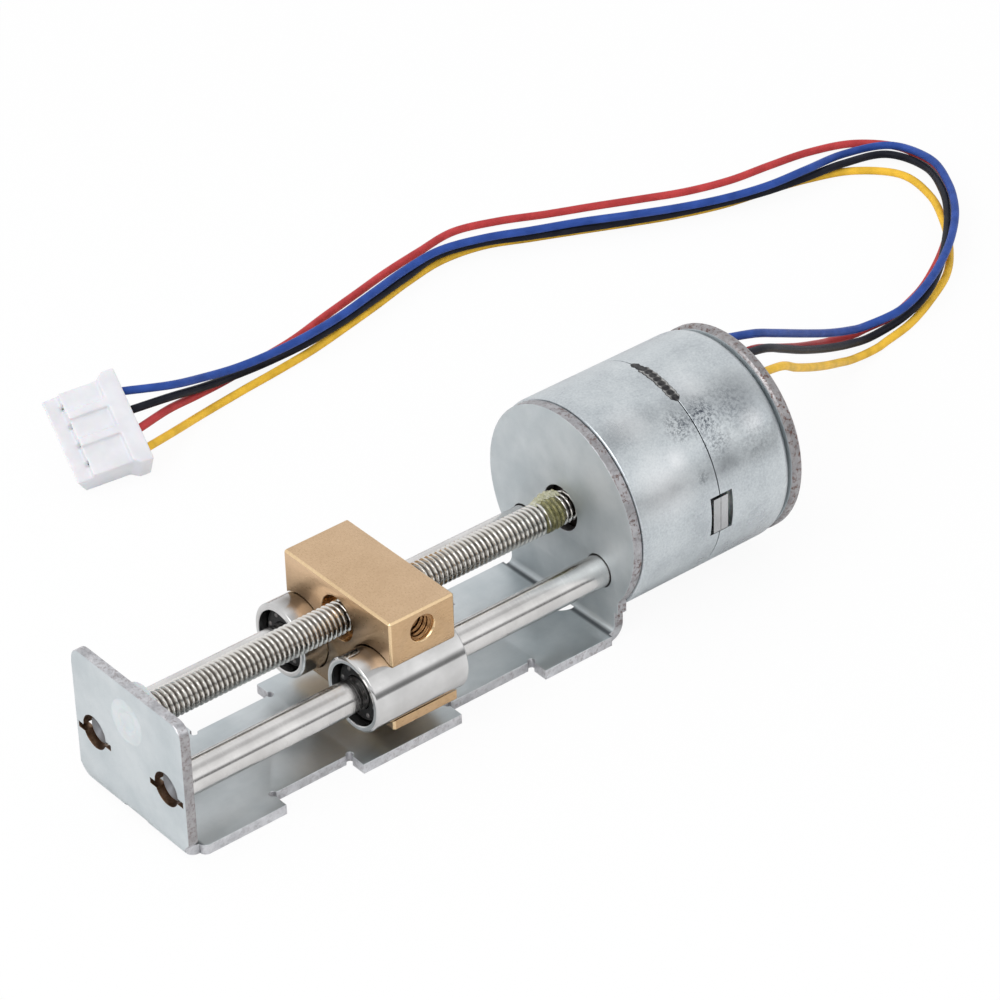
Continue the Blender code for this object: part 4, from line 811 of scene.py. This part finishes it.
def acetal(name, colour=(236, 236, 232), roughness=0.38):
    """White moulded resin: light goes a little way in, and the skin is faintly uneven."""
    made, shader = finish(name, tone(*colour), 0.0, roughness, Subsurface_Weight=0.25,
                          Subsurface_Scale=0.6 * MM)
    place = place_of(made)
    join(made, drifting(made, noise(made, place, 0.5, 3.0), colour, 4, 4), shader.inputs["Base Color"])
    join(made, between(made, noise(made, place, 4.0), 0.3, 0.7, roughness * 0.8, roughness * 1.2),
         shader.inputs["Roughness"])
    relief(made, shader, noise(made, place, 2.5, 3.0), 0.004, 0.4)
    return made


ACETAL = acetal("white_acetal", (201, 206, 208), 0.5)
bush_low, bush_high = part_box("front_bush")
BUSH_FACE = bush_low[0]
BUSH_BACK = bush_high[0]
BUSH_WALL = FRONT_FACE + SHEET
FLANGE = 2.16 * MM
COLLAR = 2.8 * MM
BUSH_BORE = 1.02 * MM
BORE_END = BUSH_FACE + 0.7 * MM
DIMPLE = 0.12 * MM
bush_corners = [
    (BUSH_FACE + DIMPLE, 0.0), (BUSH_FACE + DIMPLE, 0.9 * MM), (BUSH_FACE + 0.02 * MM, 1.15 * MM),
    (BUSH_FACE, 1.3 * MM), (BUSH_FACE, 2.0 * MM), (FRONT_FACE - 0.01 * MM, FLANGE),
    (FRONT_FACE + 0.2 * MM, FLANGE), (BUSH_WALL + 0.05 * MM, 1.985 * MM), (BUSH_WALL + 0.05 * MM, COLLAR),
    (BUSH_BACK, COLLAR), (BUSH_BACK, BUSH_BORE), (BORE_END, BUSH_BORE), (BORE_END, 0.0),
]
bush = skin("moulded_bush", lathe(rounded(bush_corners, 0.12 * MM), SCREW_AXIS), ACETAL)
fit(bush, "frame", "white_resin", "front_bush")
print("bush face at", round(BUSH_FACE / MM, 2), "mm, plate face at", round(FRONT_FACE / MM, 2), "mm")

# %% [markdown]
# ## The lead screw
#
# A rolled M3 thread runs the whole travel. Its radius at a point depends only on how far along and how
# far round the point is: one turn moves the same profile on by one pitch. The ends are plain journals.

# %% Roll the thread
PITCH = 0.5 * MM
CREST = 1.5 * MM
THREAD_DEPTH = 0.3067 * MM
ROOT = CREST - THREAD_DEPTH
JOURNAL = 1.0 * MM
TAIL = 1.55 * MM


def thread_height(x, angle, pitch):
    """Trapezoid wave of the phase x / pitch - angle / 2 pi: 0 on the root flat, 1 on the crest flat."""
    phase = (x / pitch - angle / (2 * np.pi)) % 1.0
    ramped = 1.0 - np.abs(2.0 * phase - 1.0)
    return np.clip((ramped - 0.16) / 0.56, 0.0, 1.0)


def lead_screw_grid(start, threaded_from, threaded_to, end, per_pitch=10, steps=40):
    """Rows along the screw: pole, journal, thread with tapered ends, plain shaft, journal, pole."""
    count = int((threaded_to - threaded_from) / PITCH * per_pitch)
    x = np.concatenate([[start, start, start + 0.15 * MM, threaded_from - 0.02 * MM],
                        np.linspace(threaded_from, threaded_to, count),
                        [threaded_to + 0.05 * MM, end - TAIL, end - TAIL, end - 0.15 * MM, end, end]])
    angle = np.linspace(0.0, 2 * np.pi, steps + 1)
    body = ROOT + (CREST - ROOT) * thread_height(x[:, None], angle[None, :], PITCH)
    lead_in = np.clip(JOURNAL + (x - threaded_from + 0.05 * MM) * 1.0, JOURNAL, CREST)
    radius = np.minimum(body, lead_in[:, None])
    tail = len(x) - 6
    radius[:4] = np.array([0.0, 0.86, 1.0, 1.0])[:, None] * JOURNAL
    radius[tail:] = np.array([1.5, 1.5, 1.0, 1.0, 0.86, 0.0])[:, None] * MM
    return about(x[:, None], radius, angle, SCREW_AXIS)


screw_low, screw_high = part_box("lead_screw")
screw_grid = lead_screw_grid(screw_low[0], -21.7 * MM, 24.2 * MM, screw_high[0])
screw = skin("threaded_screw", screw_grid, SCREW_STEEL, sharp_deg=50)
fit(screw, "rotor", "screw_steel", "lead_screw")
print("thread grid:", screw_grid.shape[:2])

# %% [markdown]
# ## The brass carriage
#
# The block is milled from bar. Its chamfers get a paler brass as a painted highlight. The hole in its near
# side is tapped, and the screw passes through a counterbored hole in its front face, which gets painted
# shade towards its foot.

# %% Dress the carriage
block_low, block_high = (Vector(v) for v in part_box("slider_block"))


def brass_side(face):
    """0 for the top and bottom, 1 for the milled sides, 2 for chamfers and bores, 3 for the front."""
    n = face.normal
    if abs(n.z) > 0.99:
        return 0
    if n.x < -0.99:
        return 3
    return 1 if max(abs(n.x), abs(n.y)) > 0.99 else 2


carriage = softened("slider_block", "brass_carriage", 0.05 * MM, BRASSES, brass_side)
fit(carriage, "carriage", "brass", "slider_block")
print("carriage from", [round(v / MM, 2) for v in block_low], "to", [round(v / MM, 2) for v in block_high])

# %% [markdown]
# ## The tapped side hole
#
# The bore in the near side is tapped for the load's screw. The thread is the screw's own wave turned
# inside out: the wall comes inwards where the screw's thread would stand out.

# %% Tap the side hole
HOLE_AT = Vector((1.6, -7.35, 11.8)) * MM
HOLE_RADIUS = 1.25 * MM


def tapped_wall(depth=4.3 * MM, steps=48, per_pitch=10):
    """Inside of a tapped hole along Y: the radius is the bore less the thread height, closed behind."""
    count = int(depth / PITCH * per_pitch)
    run = np.linspace(0.25 * MM, depth, count)
    angle = np.linspace(0.0, 2 * np.pi, steps + 1)
    inner = HOLE_RADIUS - 0.02 * MM - 0.2 * MM * thread_height(run[:, None], angle[None, :], PITCH)
    outer = np.full_like(inner, HOLE_RADIUS + 0.03 * MM)
    radius = np.vstack([outer[:1], inner, outer[-1:], outer[:1]])
    run = np.concatenate([run[:1], run, run[-1:], run[:1]])
    x = HOLE_AT.x + radius * np.cos(angle)
    z = HOLE_AT.z + radius * np.sin(angle)
    y = np.broadcast_to((HOLE_AT.y + run)[:, None], x.shape)
    return np.stack([x, y, z], axis=-1)


tapping = skin("tapped_thread", tapped_wall(), BRASS_SHADED_HOLE, sharp_deg=50)
fit(tapping, "carriage", "brass")
print("tapped hole at", [round(v / MM, 2) for v in HOLE_AT], "mm, radius", round(HOLE_RADIUS / MM, 2), "mm")

# %% [markdown]
# ## Linear bearings
#
# Each bearing is a ground steel sleeve with a dark resin cage inside. Sleeve and cage are turned
# profiles, and one ring of small balls shows at the cage's front end.

# %% Build the bearings
def dark_resin(name, colour=(38, 38, 40), roughness=0.45):
    """Black moulded resin with a fine matt skin."""
    made, shader = finish(name, tone(*colour), 0.0, roughness, Specular_IOR_Level=0.4)
    place = place_of(made)
    deep = tuple(c * 0.7 for c in colour)
    join(made, ramp(made, noise(made, place, 1.2, 4.0), (0.3, tone(*deep)), (0.7, tone(*colour))),
         shader.inputs["Base Color"])
    join(made, between(made, noise(made, place, 6.0), 0.3, 0.7, roughness * 0.8, roughness * 1.2),
         shader.inputs["Roughness"])
    return made


CAGE_RESIN = dark_resin("cage_resin", (14, 13, 13), 0.6)
SLEEVE_BORE = 2.9 * MM
CAGE_OUTSIDE = 2.8 * MM
CAGE_LIP = 2.45 * MM
CAGE_BORE = 1.58 * MM
BALL = 0.27 * MM
BALL_RING = 2.16 * MM


def bearing(side, axis):
    """Sleeve with eased ends, cage and balls on one rod."""
    low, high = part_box("bearing_sleeve_" + side)
    r = (high[1] - low[1]) / 2
    start = (low[0] + 0.06 * MM, SLEEVE_BORE)
    ring = [start, (low[0], SLEEVE_BORE + 0.08 * MM), (low[0], r - 0.20 * MM), (low[0] + 0.16 * MM, r)]
    both_ends = low[0] + high[0]
    mirrored = [(both_ends - x, radius) for x, radius in reversed(ring)]
    profile = rounded(ring + mirrored + [start], 0.05 * MM, 3)
    sleeve = skin("bearing_shell_" + side, lathe(profile, axis, 128), SLEEVE_STEEL)
    fit(sleeve, "carriage", "bright_steel", "bearing_sleeve_" + side)
    low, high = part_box("ball_cage_" + side)
    corners = [(low[0], CAGE_BORE), (low[0], CAGE_LIP), (low[0] + 0.25 * MM, CAGE_OUTSIDE)]
    corners += [(high[0] - 0.25 * MM, CAGE_OUTSIDE), (high[0], CAGE_LIP), (high[0], CAGE_BORE)]
    corners += corners[:1]
    cage = skin("bearing_cage_" + side, lathe(rounded(corners, 0.15 * MM), axis), CAGE_RESIN)
    fit(cage, "carriage", "black_resin", "ball_cage_" + side)
    half_turn = np.linspace(0.0, np.pi, 13)
    bead = np.column_stack([low[0] + 0.16 * MM - BALL * np.cos(half_turn), BALL * np.sin(half_turn)])
    for number, degrees in enumerate(np.arange(12.0, 372.0, 45.0)):
        turn = math.radians(float(degrees))
        at = (axis[0] + BALL_RING * math.cos(turn), axis[1] + BALL_RING * math.sin(turn))
        ball = skin("ball_%s_%d" % (side, number + 1), lathe(bead, at, 24), BALL_STEEL)
        fit(ball, "carriage", "bright_steel")
    print(side, "cage starts at", round(low[0] / MM, 2), "mm")


bearing("left", ROD_LEFT)
bearing("right", ROD_RIGHT)

# %% [markdown]
# ## Finish of the motor shell
#
# The zinc coat on the drawn cups is softly clouded and finely frosted, with painted highlights and patches
# of painted shade, and dark scuffs beside the seam. Painted highlights, painted shade and scuffs have their
# own places, so each is a soft round patch.

# %% Coat of the shell
SCUFFS = (((33.8, -6.3, 18.3), 2.4, 1.0), ((34.0, -8.0, 16.5), 2.0, 0.6), ((31.3, -6.1, 18.4), 1.9, 0.85),
          ((31.4, -9.2, 14.5), 0.8, 0.5), ((37.0, -6.4, 18.2), 3.2, 0.40), ((38.0, -8.6, 15.5), 3.0, 0.22))
# Painted highlights: bright patches where the soft boxes gleam on the round shell.
PAINTED_HIGHLIGHTS = (((27.4, -8.9, 15.2), 3.8, 0.48), ((29.3, -8.0, 16.5), 1.6, 0.5), ((38.3, -7.7, 16.8), 1.5, 0.6),
          ((27.0, -4.2, 19.6), 2.5, 0.35), ((34.5, -3.6, 19.9), 2.5, 0.3))
# Painted shade: darker patches where the round shell lies in shade.
SHADES = (((38.2, -6.2, 18.4), 3.4, 0.75), ((34.6, -8.6, 15.6), 1.6, 0.3), ((30.2, -9.9, 11.0), 2.4, 0.15))


def patches_of(made, place, patches):
    """Greatest of several round patches. Each is a place in millimetres, a radius and its strength."""
    total = 0.0
    for centre, radius, strength in patches:
        away = add(made, "VectorMath", {"operation": "DISTANCE"}, i0=place, i1=centre)
        fading = between(made, away.outputs["Value"], 0.2 * radius, radius, strength, 0.0)
        total = maths(made, "MAXIMUM", total, fading)
    return total


def galvanised():
    """Drawn zinc-coated cup: soft clouds, a fine frosted grain, painted highlights and painted shade in
    soft patches, and dark scuffs beside the seam."""
    made, shader = finish("galvanised_shell", tone(200, 206, 209), 1.0, 0.34)
    place = place_of(made)
    cloud = noise(made, place, 0.28, 4.0, 0.6)
    frost = noise(made, place, 5.0, 3.0, 0.6)
    both = maths(made, "ADD", maths(made, "MULTIPLY", cloud, 0.55), maths(made, "MULTIPLY", frost, 0.45))
    tint = ramp(made, both, (0.36, tone(184, 190, 194)), (0.50, tone(202, 208, 211)),
                (0.64, tone(216, 221, 223)))
    # Painted highlights and painted shade are laid into the coat's colour.
    with_painted_light = mix(made, patches_of(made, place, PAINTED_HIGHLIGHTS), tint, (*tone(252, 253, 254), 1))
    with_painted_shade = mix(made, patches_of(made, place, SHADES), with_painted_light, (*tone(160, 165, 169), 1))
    grit = ramp(made, noise(made, place, 3.2, 6.0, 0.8), (0.46, 0.0), (0.58, 1.0))
    worn = maths(made, "MULTIPLY", grit, maths(made, "ADD", patches_of(made, place, SCUFFS), 0.07))
    join(made, mix(made, worn, with_painted_shade, (*tone(80, 86, 96), 1)), shader.inputs["Base Color"])
    join(made, between(made, cloud, 0.35, 0.65, 0.27, 0.42), shader.inputs["Roughness"])
    relief(made, shader, frost, 0.006, 0.5)
    return made


SHELL = galvanised()
print("patches on the shell:", len(SCUFFS) + len(PAINTED_HIGHLIGHTS) + len(SHADES))

# %% [markdown]
# ## Motor shell
#
# Two drawn steel cups meet at a seam about half way back. Each is a thin wall turned about the motor's
# axis, with a small radius at the rim and a rounded shoulder at the rear. A window on each side, cut
# through both cups, shows the key of the inner plates.

# %% Draw the cups
def carve(made, *boxes, place=Matrix.Identity(4)):
    """Cut boxes out of a piece. A box is its two opposite corners, in the frame of the given place."""
    for low, high in boxes:
        cutter = bpy.data.meshes.new("window_box")
        shape = bmesh.new()
        bmesh.ops.create_cube(shape, size=1.0)
        for vertex in shape.verts:
            corner = Vector([low[k] + (vertex.co[k] + 0.5) * (high[k] - low[k]) for k in range(3)])
            vertex.co = place @ corner
        shape.to_mesh(cutter)
        shape.free()
        tool = bpy.data.objects.new("window_box", cutter)
        bpy.context.scene.collection.objects.link(tool)
        cut = made.modifiers.new("window", "BOOLEAN")
        cut.operation = "DIFFERENCE"
        cut.solver = "EXACT"
        cut.object = tool
        bpy.context.view_layer.update()
        carved = bpy.data.meshes.new_from_object(made.evaluated_get(bpy.context.evaluated_depsgraph_get()))
        made.modifiers.clear()
        made.data = carved
        bpy.data.objects.remove(tool)
    made.data.shade_smooth()
    made.data.set_sharp_from_angle(angle=math.radians(35))
    return made


WALL = 0.8 * MM
CUP_HOLE = 3.0 * MM
SEAM_EASE = 0.07 * MM
SEAM_GAP = 0.04 * MM
WINDOW = ((31.66 * MM, -11 * MM, 8.55 * MM), (34.15 * MM, 11 * MM, 12.45 * MM))
front_low, front_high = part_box("motor_front_cup")
rear_low, rear_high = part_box("motor_rear_cup")
CUP_FRONT, CUP_SEAM = front_low[0], front_high[0]
INSIDE = MOTOR_RADIUS - WALL
front_wall = [(CUP_FRONT, CUP_HOLE), (CUP_FRONT, MOTOR_RADIUS, 0.25 * MM),
              (CUP_SEAM, MOTOR_RADIUS, SEAM_EASE), (CUP_SEAM, INSIDE, 0.06 * MM),
              (CUP_FRONT + WALL, INSIDE, 0.2 * MM), (CUP_FRONT + WALL, CUP_HOLE), (CUP_FRONT, CUP_HOLE)]
cup = skin("front_shell", lathe(rounded(front_wall, 0.1 * MM), SCREW_AXIS, 192), SHELL)
fit(carve(cup, WINDOW), "frame", "zinc_sheet", "motor_front_cup")
BACK, SEAM_BACK = rear_high[0], rear_low[0] + SEAM_GAP
rear_wall = [(BACK, CUP_HOLE), (BACK, MOTOR_RADIUS, 1.5 * MM), (SEAM_BACK, MOTOR_RADIUS, SEAM_EASE),
             (SEAM_BACK, INSIDE, 0.06 * MM), (BACK - WALL, INSIDE, 0.5 * MM),
             (BACK - WALL, CUP_HOLE), (BACK, CUP_HOLE)]
cup = skin("rear_shell", lathe(rounded(rear_wall, 0.1 * MM, 8), SCREW_AXIS, 192), SHELL)
fit(carve(cup, WINDOW), "frame", "zinc_sheet", "motor_rear_cup")
print("shell wall", WALL / MM, "mm, seam at", round(SEAM / MM, 2), "mm")

# %% [markdown]
# ## Weld on the seam
#
# The cups are joined by a short run of overlapping spot welds across the top of the seam. Each spot is
# a shallow crater with a raised rim, and the run starts in a flat, darker smear. The bead's height at a
# point is a ring round the nearest spot, exp of minus the squared distance from its rim, on a low dome.

# %% Lay the weld
WELD_FROM = math.radians(79.0)
WELD_TO = math.radians(115.5)
SPOT = 0.46 * MM
SPOT_STEP = 0.62 * MM
BEAD_HALF = 0.60 * MM


def weld_bead(rows=260, columns=60):
    """A patch on the shell: angle round the seam by distance across it, raised by the weld's height."""
    angle = np.linspace(WELD_FROM, WELD_TO, rows)[:, None]
    across = np.linspace(-1.0, 1.0, columns)[None, :]
    travelled = (angle - WELD_FROM) * MOTOR_RADIUS
    wobble = 0.05 * MM * np.sin(travelled / MM * 5.1) + 0.04 * MM * np.sin(travelled / MM * 11.7 + 1.0)
    to_end = np.minimum(travelled, travelled[-1] - travelled)
    half = (BEAD_HALF + wobble) * np.clip(to_end / (0.5 * MM), 0.0, 1) ** 0.5
    side = across * half
    centres = np.arange(float(travelled[-1, 0]) - 0.4 * MM, 1.5 * MM, -SPOT_STEP)
    astray = 0.05 * MM * np.sin(centres * 9e3)
    distance = np.sqrt((travelled[..., None] - centres) ** 2 + (side[..., None] - astray) ** 2)
    nearest = distance.min(axis=-1)
    rims = np.exp(-((nearest - SPOT) / (0.11 * MM)) ** 2) * 0.10 * MM
    spots = np.clip((travelled - 1.4 * MM) / (0.3 * MM), 0, 1)
    dome = np.clip(1 - across ** 2, 0, 1) * 0.05 * MM
    height = rims * spots * np.clip(1 - across ** 6, 0, 1) + dome - 0.03 * MM
    top = about(SEAM + side, MOTOR_RADIUS + height, angle, SCREW_AXIS)
    under = about(SEAM + side, MOTOR_RADIUS - 0.12 * MM, angle, SCREW_AXIS)
    return np.concatenate([top, under[:, ::-1], top[:, :1]], axis=1)


def weld_metal():
    """Melted steel, scaled dark grey, with brighter rubbed crests. The height over the shell, the distance
    from the motor's axis, tells crest from hollow."""
    made, shader = finish("weld_metal", tone(120, 120, 120), 1.0, 0.36)
    crest = between(made, from_axis(made, SCREW_AXIS[1] / MM), 10.01, 10.11)
    scale = noise(made, place_of(made), 3.2, 5.0, 0.7)
    both = maths(made, "ADD", maths(made, "MULTIPLY", crest, 0.7), maths(made, "MULTIPLY", scale, 0.4))
    scaled = ramp(made, both, (0.22, tone(56, 56, 58)), (0.50, tone(112, 111, 110)),
                  (0.85, tone(172, 172, 170)))
    join(made, scaled, shader.inputs["Base Color"])
    relief(made, shader, noise(made, place_of(made), 5.0, 4.0), 0.03, 0.8)
    return made


weld = skin("seam_weld", weld_bead(), weld_metal(), sharp_deg=60)
fit(weld, "frame", "zinc_sheet")
print("weld", round((WELD_TO - WELD_FROM) * MOTOR_RADIUS / MM, 1), "mm long")

# %% [markdown]
# ## Rear cover and wire exit
#
# A stamped plate closes the motor, with a moulded block where the four leads come out. The block gets
# rounded edges and a small collar round each lead.

# %% Close the motor
def stamped_plate(node, name):
    """Cover plate: a turned disc with an eased rim and a shallow dish in its middle."""
    low, high = (Vector(v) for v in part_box(node))
    r = (high.z - low.z) / 2
    dish = high.x - 0.3 * MM
    corners = [(low.x, 0.0), (low.x, r - 0.25 * MM, 0.1 * MM), (low.x + 0.25 * MM, r, 0.1 * MM),
               (dish, r, 0.15 * MM), (high.x, r - 0.35 * MM, 0.15 * MM), (high.x, 5.2 * MM, 0.2 * MM),
               (dish, 4.9 * MM, 0.2 * MM), (dish, 0.0)]
    made = skin(name, lathe(rounded(corners, 0.1 * MM), SCREW_AXIS, 192), ZINC, COVER_EDGE)
    facing = np.empty(len(made.data.polygons) * 3)
    made.data.polygons.foreach_get("normal", facing)
    made.data.polygons.foreach_set("material_index", (np.abs(facing[::3]) < 0.9).astype(np.int32))
    return made


cover = stamped_plate("rear_cover", "rear_plate")
block_box = tuple(Vector(v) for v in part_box("lead_exit_block"))
fit(cover, "frame", "zinc_sheet", "rear_cover")
EXIT_RESIN = acetal("exit_resin", (232, 232, 228), 0.42)
exit_block = softened("lead_exit_block", "wire_exit_block", 0.15 * MM, (EXIT_RESIN,), segments=3)
fit(exit_block, "frame", "white_resin", "lead_exit_block")


def collar(centre, inner, outer, thickness):
    """A ring about X: a circle of half the thickness carried round the wire."""
    around = np.linspace(0, 2 * np.pi, 33)[:, None]
    section = np.linspace(0, 2 * np.pi, 13)[None, :]
    radius = (inner + outer) / 2 + (outer - inner) / 2 * np.cos(section)
    return about(centre[0] + thickness / 2 * np.sin(section), radius, around, centre[1:])


for colour_name, points in ROUTES.items():
    mouth = (block_box[1].x, points[0][1] * MM, points[0][2] * MM)
    ring = skin("wire_collar_" + colour_name, collar(mouth, 0.36 * MM, 0.62 * MM, 0.3 * MM), EXIT_RESIN)
    fit(ring, "frame", "white_resin")
print("rear cover and wire block in place")

# %% [markdown]
# ## Inside the motor
#
# The bobbins, windings, toothed plates and magnet are whole solids inside the shell. Only the keys of
# the two middle plates show, through the side windows. They keep their own meshes and get finishes.

# %% Finish the inner parts
def turned_copper():
    """Enamelled wire wound in layers: fine ridges round the coil."""
    made, shader = finish("enamelled_copper", tone(196, 110, 66), 1.0, 0.28)
    turns = add(made, "TexWave", {"bands_direction": "X"}, Vector=place_of(made), Scale=2.0, Distortion=0.3)
    relief(made, shader, turns.outputs["Fac"], 0.05, 0.8)
    join(made, ramp(made, turns.outputs["Fac"], (0.2, tone(150, 78, 44)), (0.8, tone(214, 130, 82))),
         shader.inputs["Base Color"])
    return made


def sintered(name, colour, roughness=0.5, metallic=1.0):
    """Pressed powder metal or ferrite: fine even grain."""
    made, shader = finish(name, tone(*colour), metallic, roughness)
    grains = noise(made, place_of(made), 9.0, 3.0)
    join(made, drifting(made, grains, colour, 14, 14, 0.3, 0.7), shader.inputs["Base Color"])
    relief(made, shader, grains, 0.02, 0.6)
    return made


def dress(finish_made, *nodes):
    """Give CAD nodes a finish without touching their meshes."""
    for node in nodes:
        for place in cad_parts[node].material_slots:
            place.link = "OBJECT"
            place.material = finish_made


inner = {
    turned_copper(): ("winding_front", "winding_rear"),
    sintered("sintered_bronze", (40, 34, 30)): ("front_motor_bush", "rear_motor_bush"),
    sintered("magnet_ferrite", (62, 60, 60), 0.6, 0.0): ("rotor_magnet",),
    acetal("bobbin_resin", (228, 226, 220), 0.45): ("bobbin_front", "bobbin_rear", "rotor_hub"),
    dark_resin("washer_resin", (54, 50, 46), 0.5): ("front_thrust_washer", "rear_thrust_washer"),
    ground_steel("brushed_plate", (184, 185, 186), 0.3): ("yoke_front", "yoke_rear"),
}
for finish_made, nodes in inner.items():
    dress(finish_made, *nodes)
print("inner parts finished:", sum(len(nodes) for nodes in inner.values()))

# %% [markdown]
# ## Adhesive at the rear upright
#
# A thin film of yellow-green thread adhesive coats the last few millimetres of the screw, so the ridges
# still read through it. A pale crumbly crust of it sits on the far shoulder, up to the plate, and both
# start behind the place that the carriage reaches.

# %% Spread the adhesive
def adhesive(name, deep, pale, clear):
    """Dried adhesive: it clouds from a deep to a pale shade, and lets part of the light through."""
    made, shader = finish(name, tone(*deep), 0.0, 0.22, Transmission_Weight=clear, IOR=1.40)
    cloud = noise(made, place_of(made), 2.2, 4.0, 0.6)
    join(made, ramp(made, cloud, (0.38, tone(*deep)), (0.66, tone(*pale))), shader.inputs["Base Color"])
    relief(made, shader, noise(made, place_of(made), 5.0, 4.0), 0.03, 0.7)
    return made


ADHESIVE = adhesive("thread_adhesive", (142, 138, 86), (198, 194, 144), 0.7)


def film(start=20.3 * MM, end=22.35 * MM, rows=60, steps=64):
    """Film on the thread: a low copy of the thread's own ridges, plus a lumpy coat that fades out."""
    x = np.linspace(start, end, rows)[:, None]
    angle = np.linspace(0, 2 * np.pi, steps + 1)[None, :]
    ridge = 0.07 * MM * thread_height(x, angle, PITCH)
    lumps = 0.05 * MM * (np.sin(3 * angle + x / MM * 4.0) + np.sin(5 * angle - x / MM * 7.0 + 1.3)) * 0.5
    fade = np.clip(np.minimum(x - start, end - x) / (0.35 * MM), 0.0, 1.0) ** 0.5
    radius = 1.38 * MM + fade * (0.10 * MM + ridge + lumps)
    radius = np.pad(radius, ((1, 1), (0, 0)), constant_values=1.2 * MM)
    return about(np.vstack([x[:1], x, x[-1:]]), radius, angle, SCREW_AXIS)


fit(skin("screw_adhesive", film(), ADHESIVE, sharp_deg=60), "rotor", "white_resin")


def crust(rows=90, columns=70, low=1.30 * MM):
    """Crumbly crust on the screw's far shoulder, up to the plate: x along the screw by angle round it.
    The radius is the film's plus a half-sine dome broken up by quick waves of both coordinates."""
    x = np.linspace(19.95 * MM, 22.8 * MM, rows)[:, None]
    v = np.linspace(0.0, 1.0, columns)[None, :]
    angle = np.radians(18.0 + 72.0 * v)
    along = (x - x[0]) / (x[-1] - x[0])
    dome = np.sin(np.pi * v) ** 0.6 * np.clip(np.sin(np.pi * np.clip(along, 0.02, 0.9)), 0, 1) ** 0.5
    waves = np.sin(31 * along + 7 * v) * np.sin(17 * v - 9 * along) + np.sin(53 * along - 21 * v) * 0.6
    radius = 1.42 * MM + dome * (0.42 + 0.22 * waves) * MM * (0.30 + 0.90 * along)
    radius = np.concatenate([radius, np.full_like(radius, low), radius[:, :1]], axis=1)
    radius = np.pad(radius, ((1, 1), (0, 0)), constant_values=low)
    angle = np.concatenate([angle, angle[:, ::-1], angle[:, :1]], axis=1)
    return about(np.vstack([x[:1], x, x[-1:]]), radius, angle, SCREW_AXIS)


CRUST = adhesive("adhesive_crust", (206, 204, 168), (236, 235, 214), 0.45)
fit(skin("screw_crust", crust(), CRUST, sharp_deg=180), "rotor", "white_resin")
print("adhesive from 20.3 to 22.35 mm along the screw")

# %% [markdown]
# ## The plug
#
# A four-way crimp housing, moulded in white nylon, with two ribs along its broad face and a flared lip
# where the wires go in. It lies tilted on its edge. Each way has a small slot in the step of the mating
# end, and a tinned crimp contact sits inside on its wire. The housing's skin is laid again on an even
# fine mesh and eased, because moulded nylon has soft corners everywhere.

# %% Dress the plug
NYLON = acetal("white_nylon", (221, 221, 225), 0.42)
plug = softened("connector_housing", "plug_housing", 0.0, (NYLON,))
PLUG_PLACE = Matrix.Translation(PLUG_AT) @ PLUG_TURN
LEDGE = Vector((-5.8, 0.0, 0.85)) * MM
WAYS = (-3.0, -1.0, 1.0, 3.0)
slots = [(LEDGE + Vector((-0.2, y - 0.25, -0.12)) * MM, LEDGE + Vector((0.8, y + 0.25, 0.40)) * MM)
         for y in WAYS]
carve(plug, *slots, place=PLUG_PLACE)
MATING_EDGE = -7.3 * MM
for vertex in plug.data.vertices:
    local = PLUG_PLACE.inverted() @ vertex.co
    if local.x < MATING_EDGE:
        local.x += 1.05 * MM * (0.85 * MM - local.z) / (2.65 * MM)
        vertex.co = PLUG_PLACE @ local
moulded = plug.modifiers.new("moulded_skin", "REMESH")
moulded.mode = "VOXEL"
moulded.voxel_size = 0.105 * MM
moulded.use_smooth_shade = True
soft = plug.modifiers.new("soft_edges", "SMOOTH")
soft.factor = 0.5
soft.iterations = 13
fit(plug, "frame", "white_resin", "connector_housing")
TINNED = ground_steel("tinned_contact", (205, 200, 188), 0.25)
dress(TINNED, *["crimp_contact_%d" % way for way in range(1, 5)])
print("plug faces:", len(plug.data.polygons))
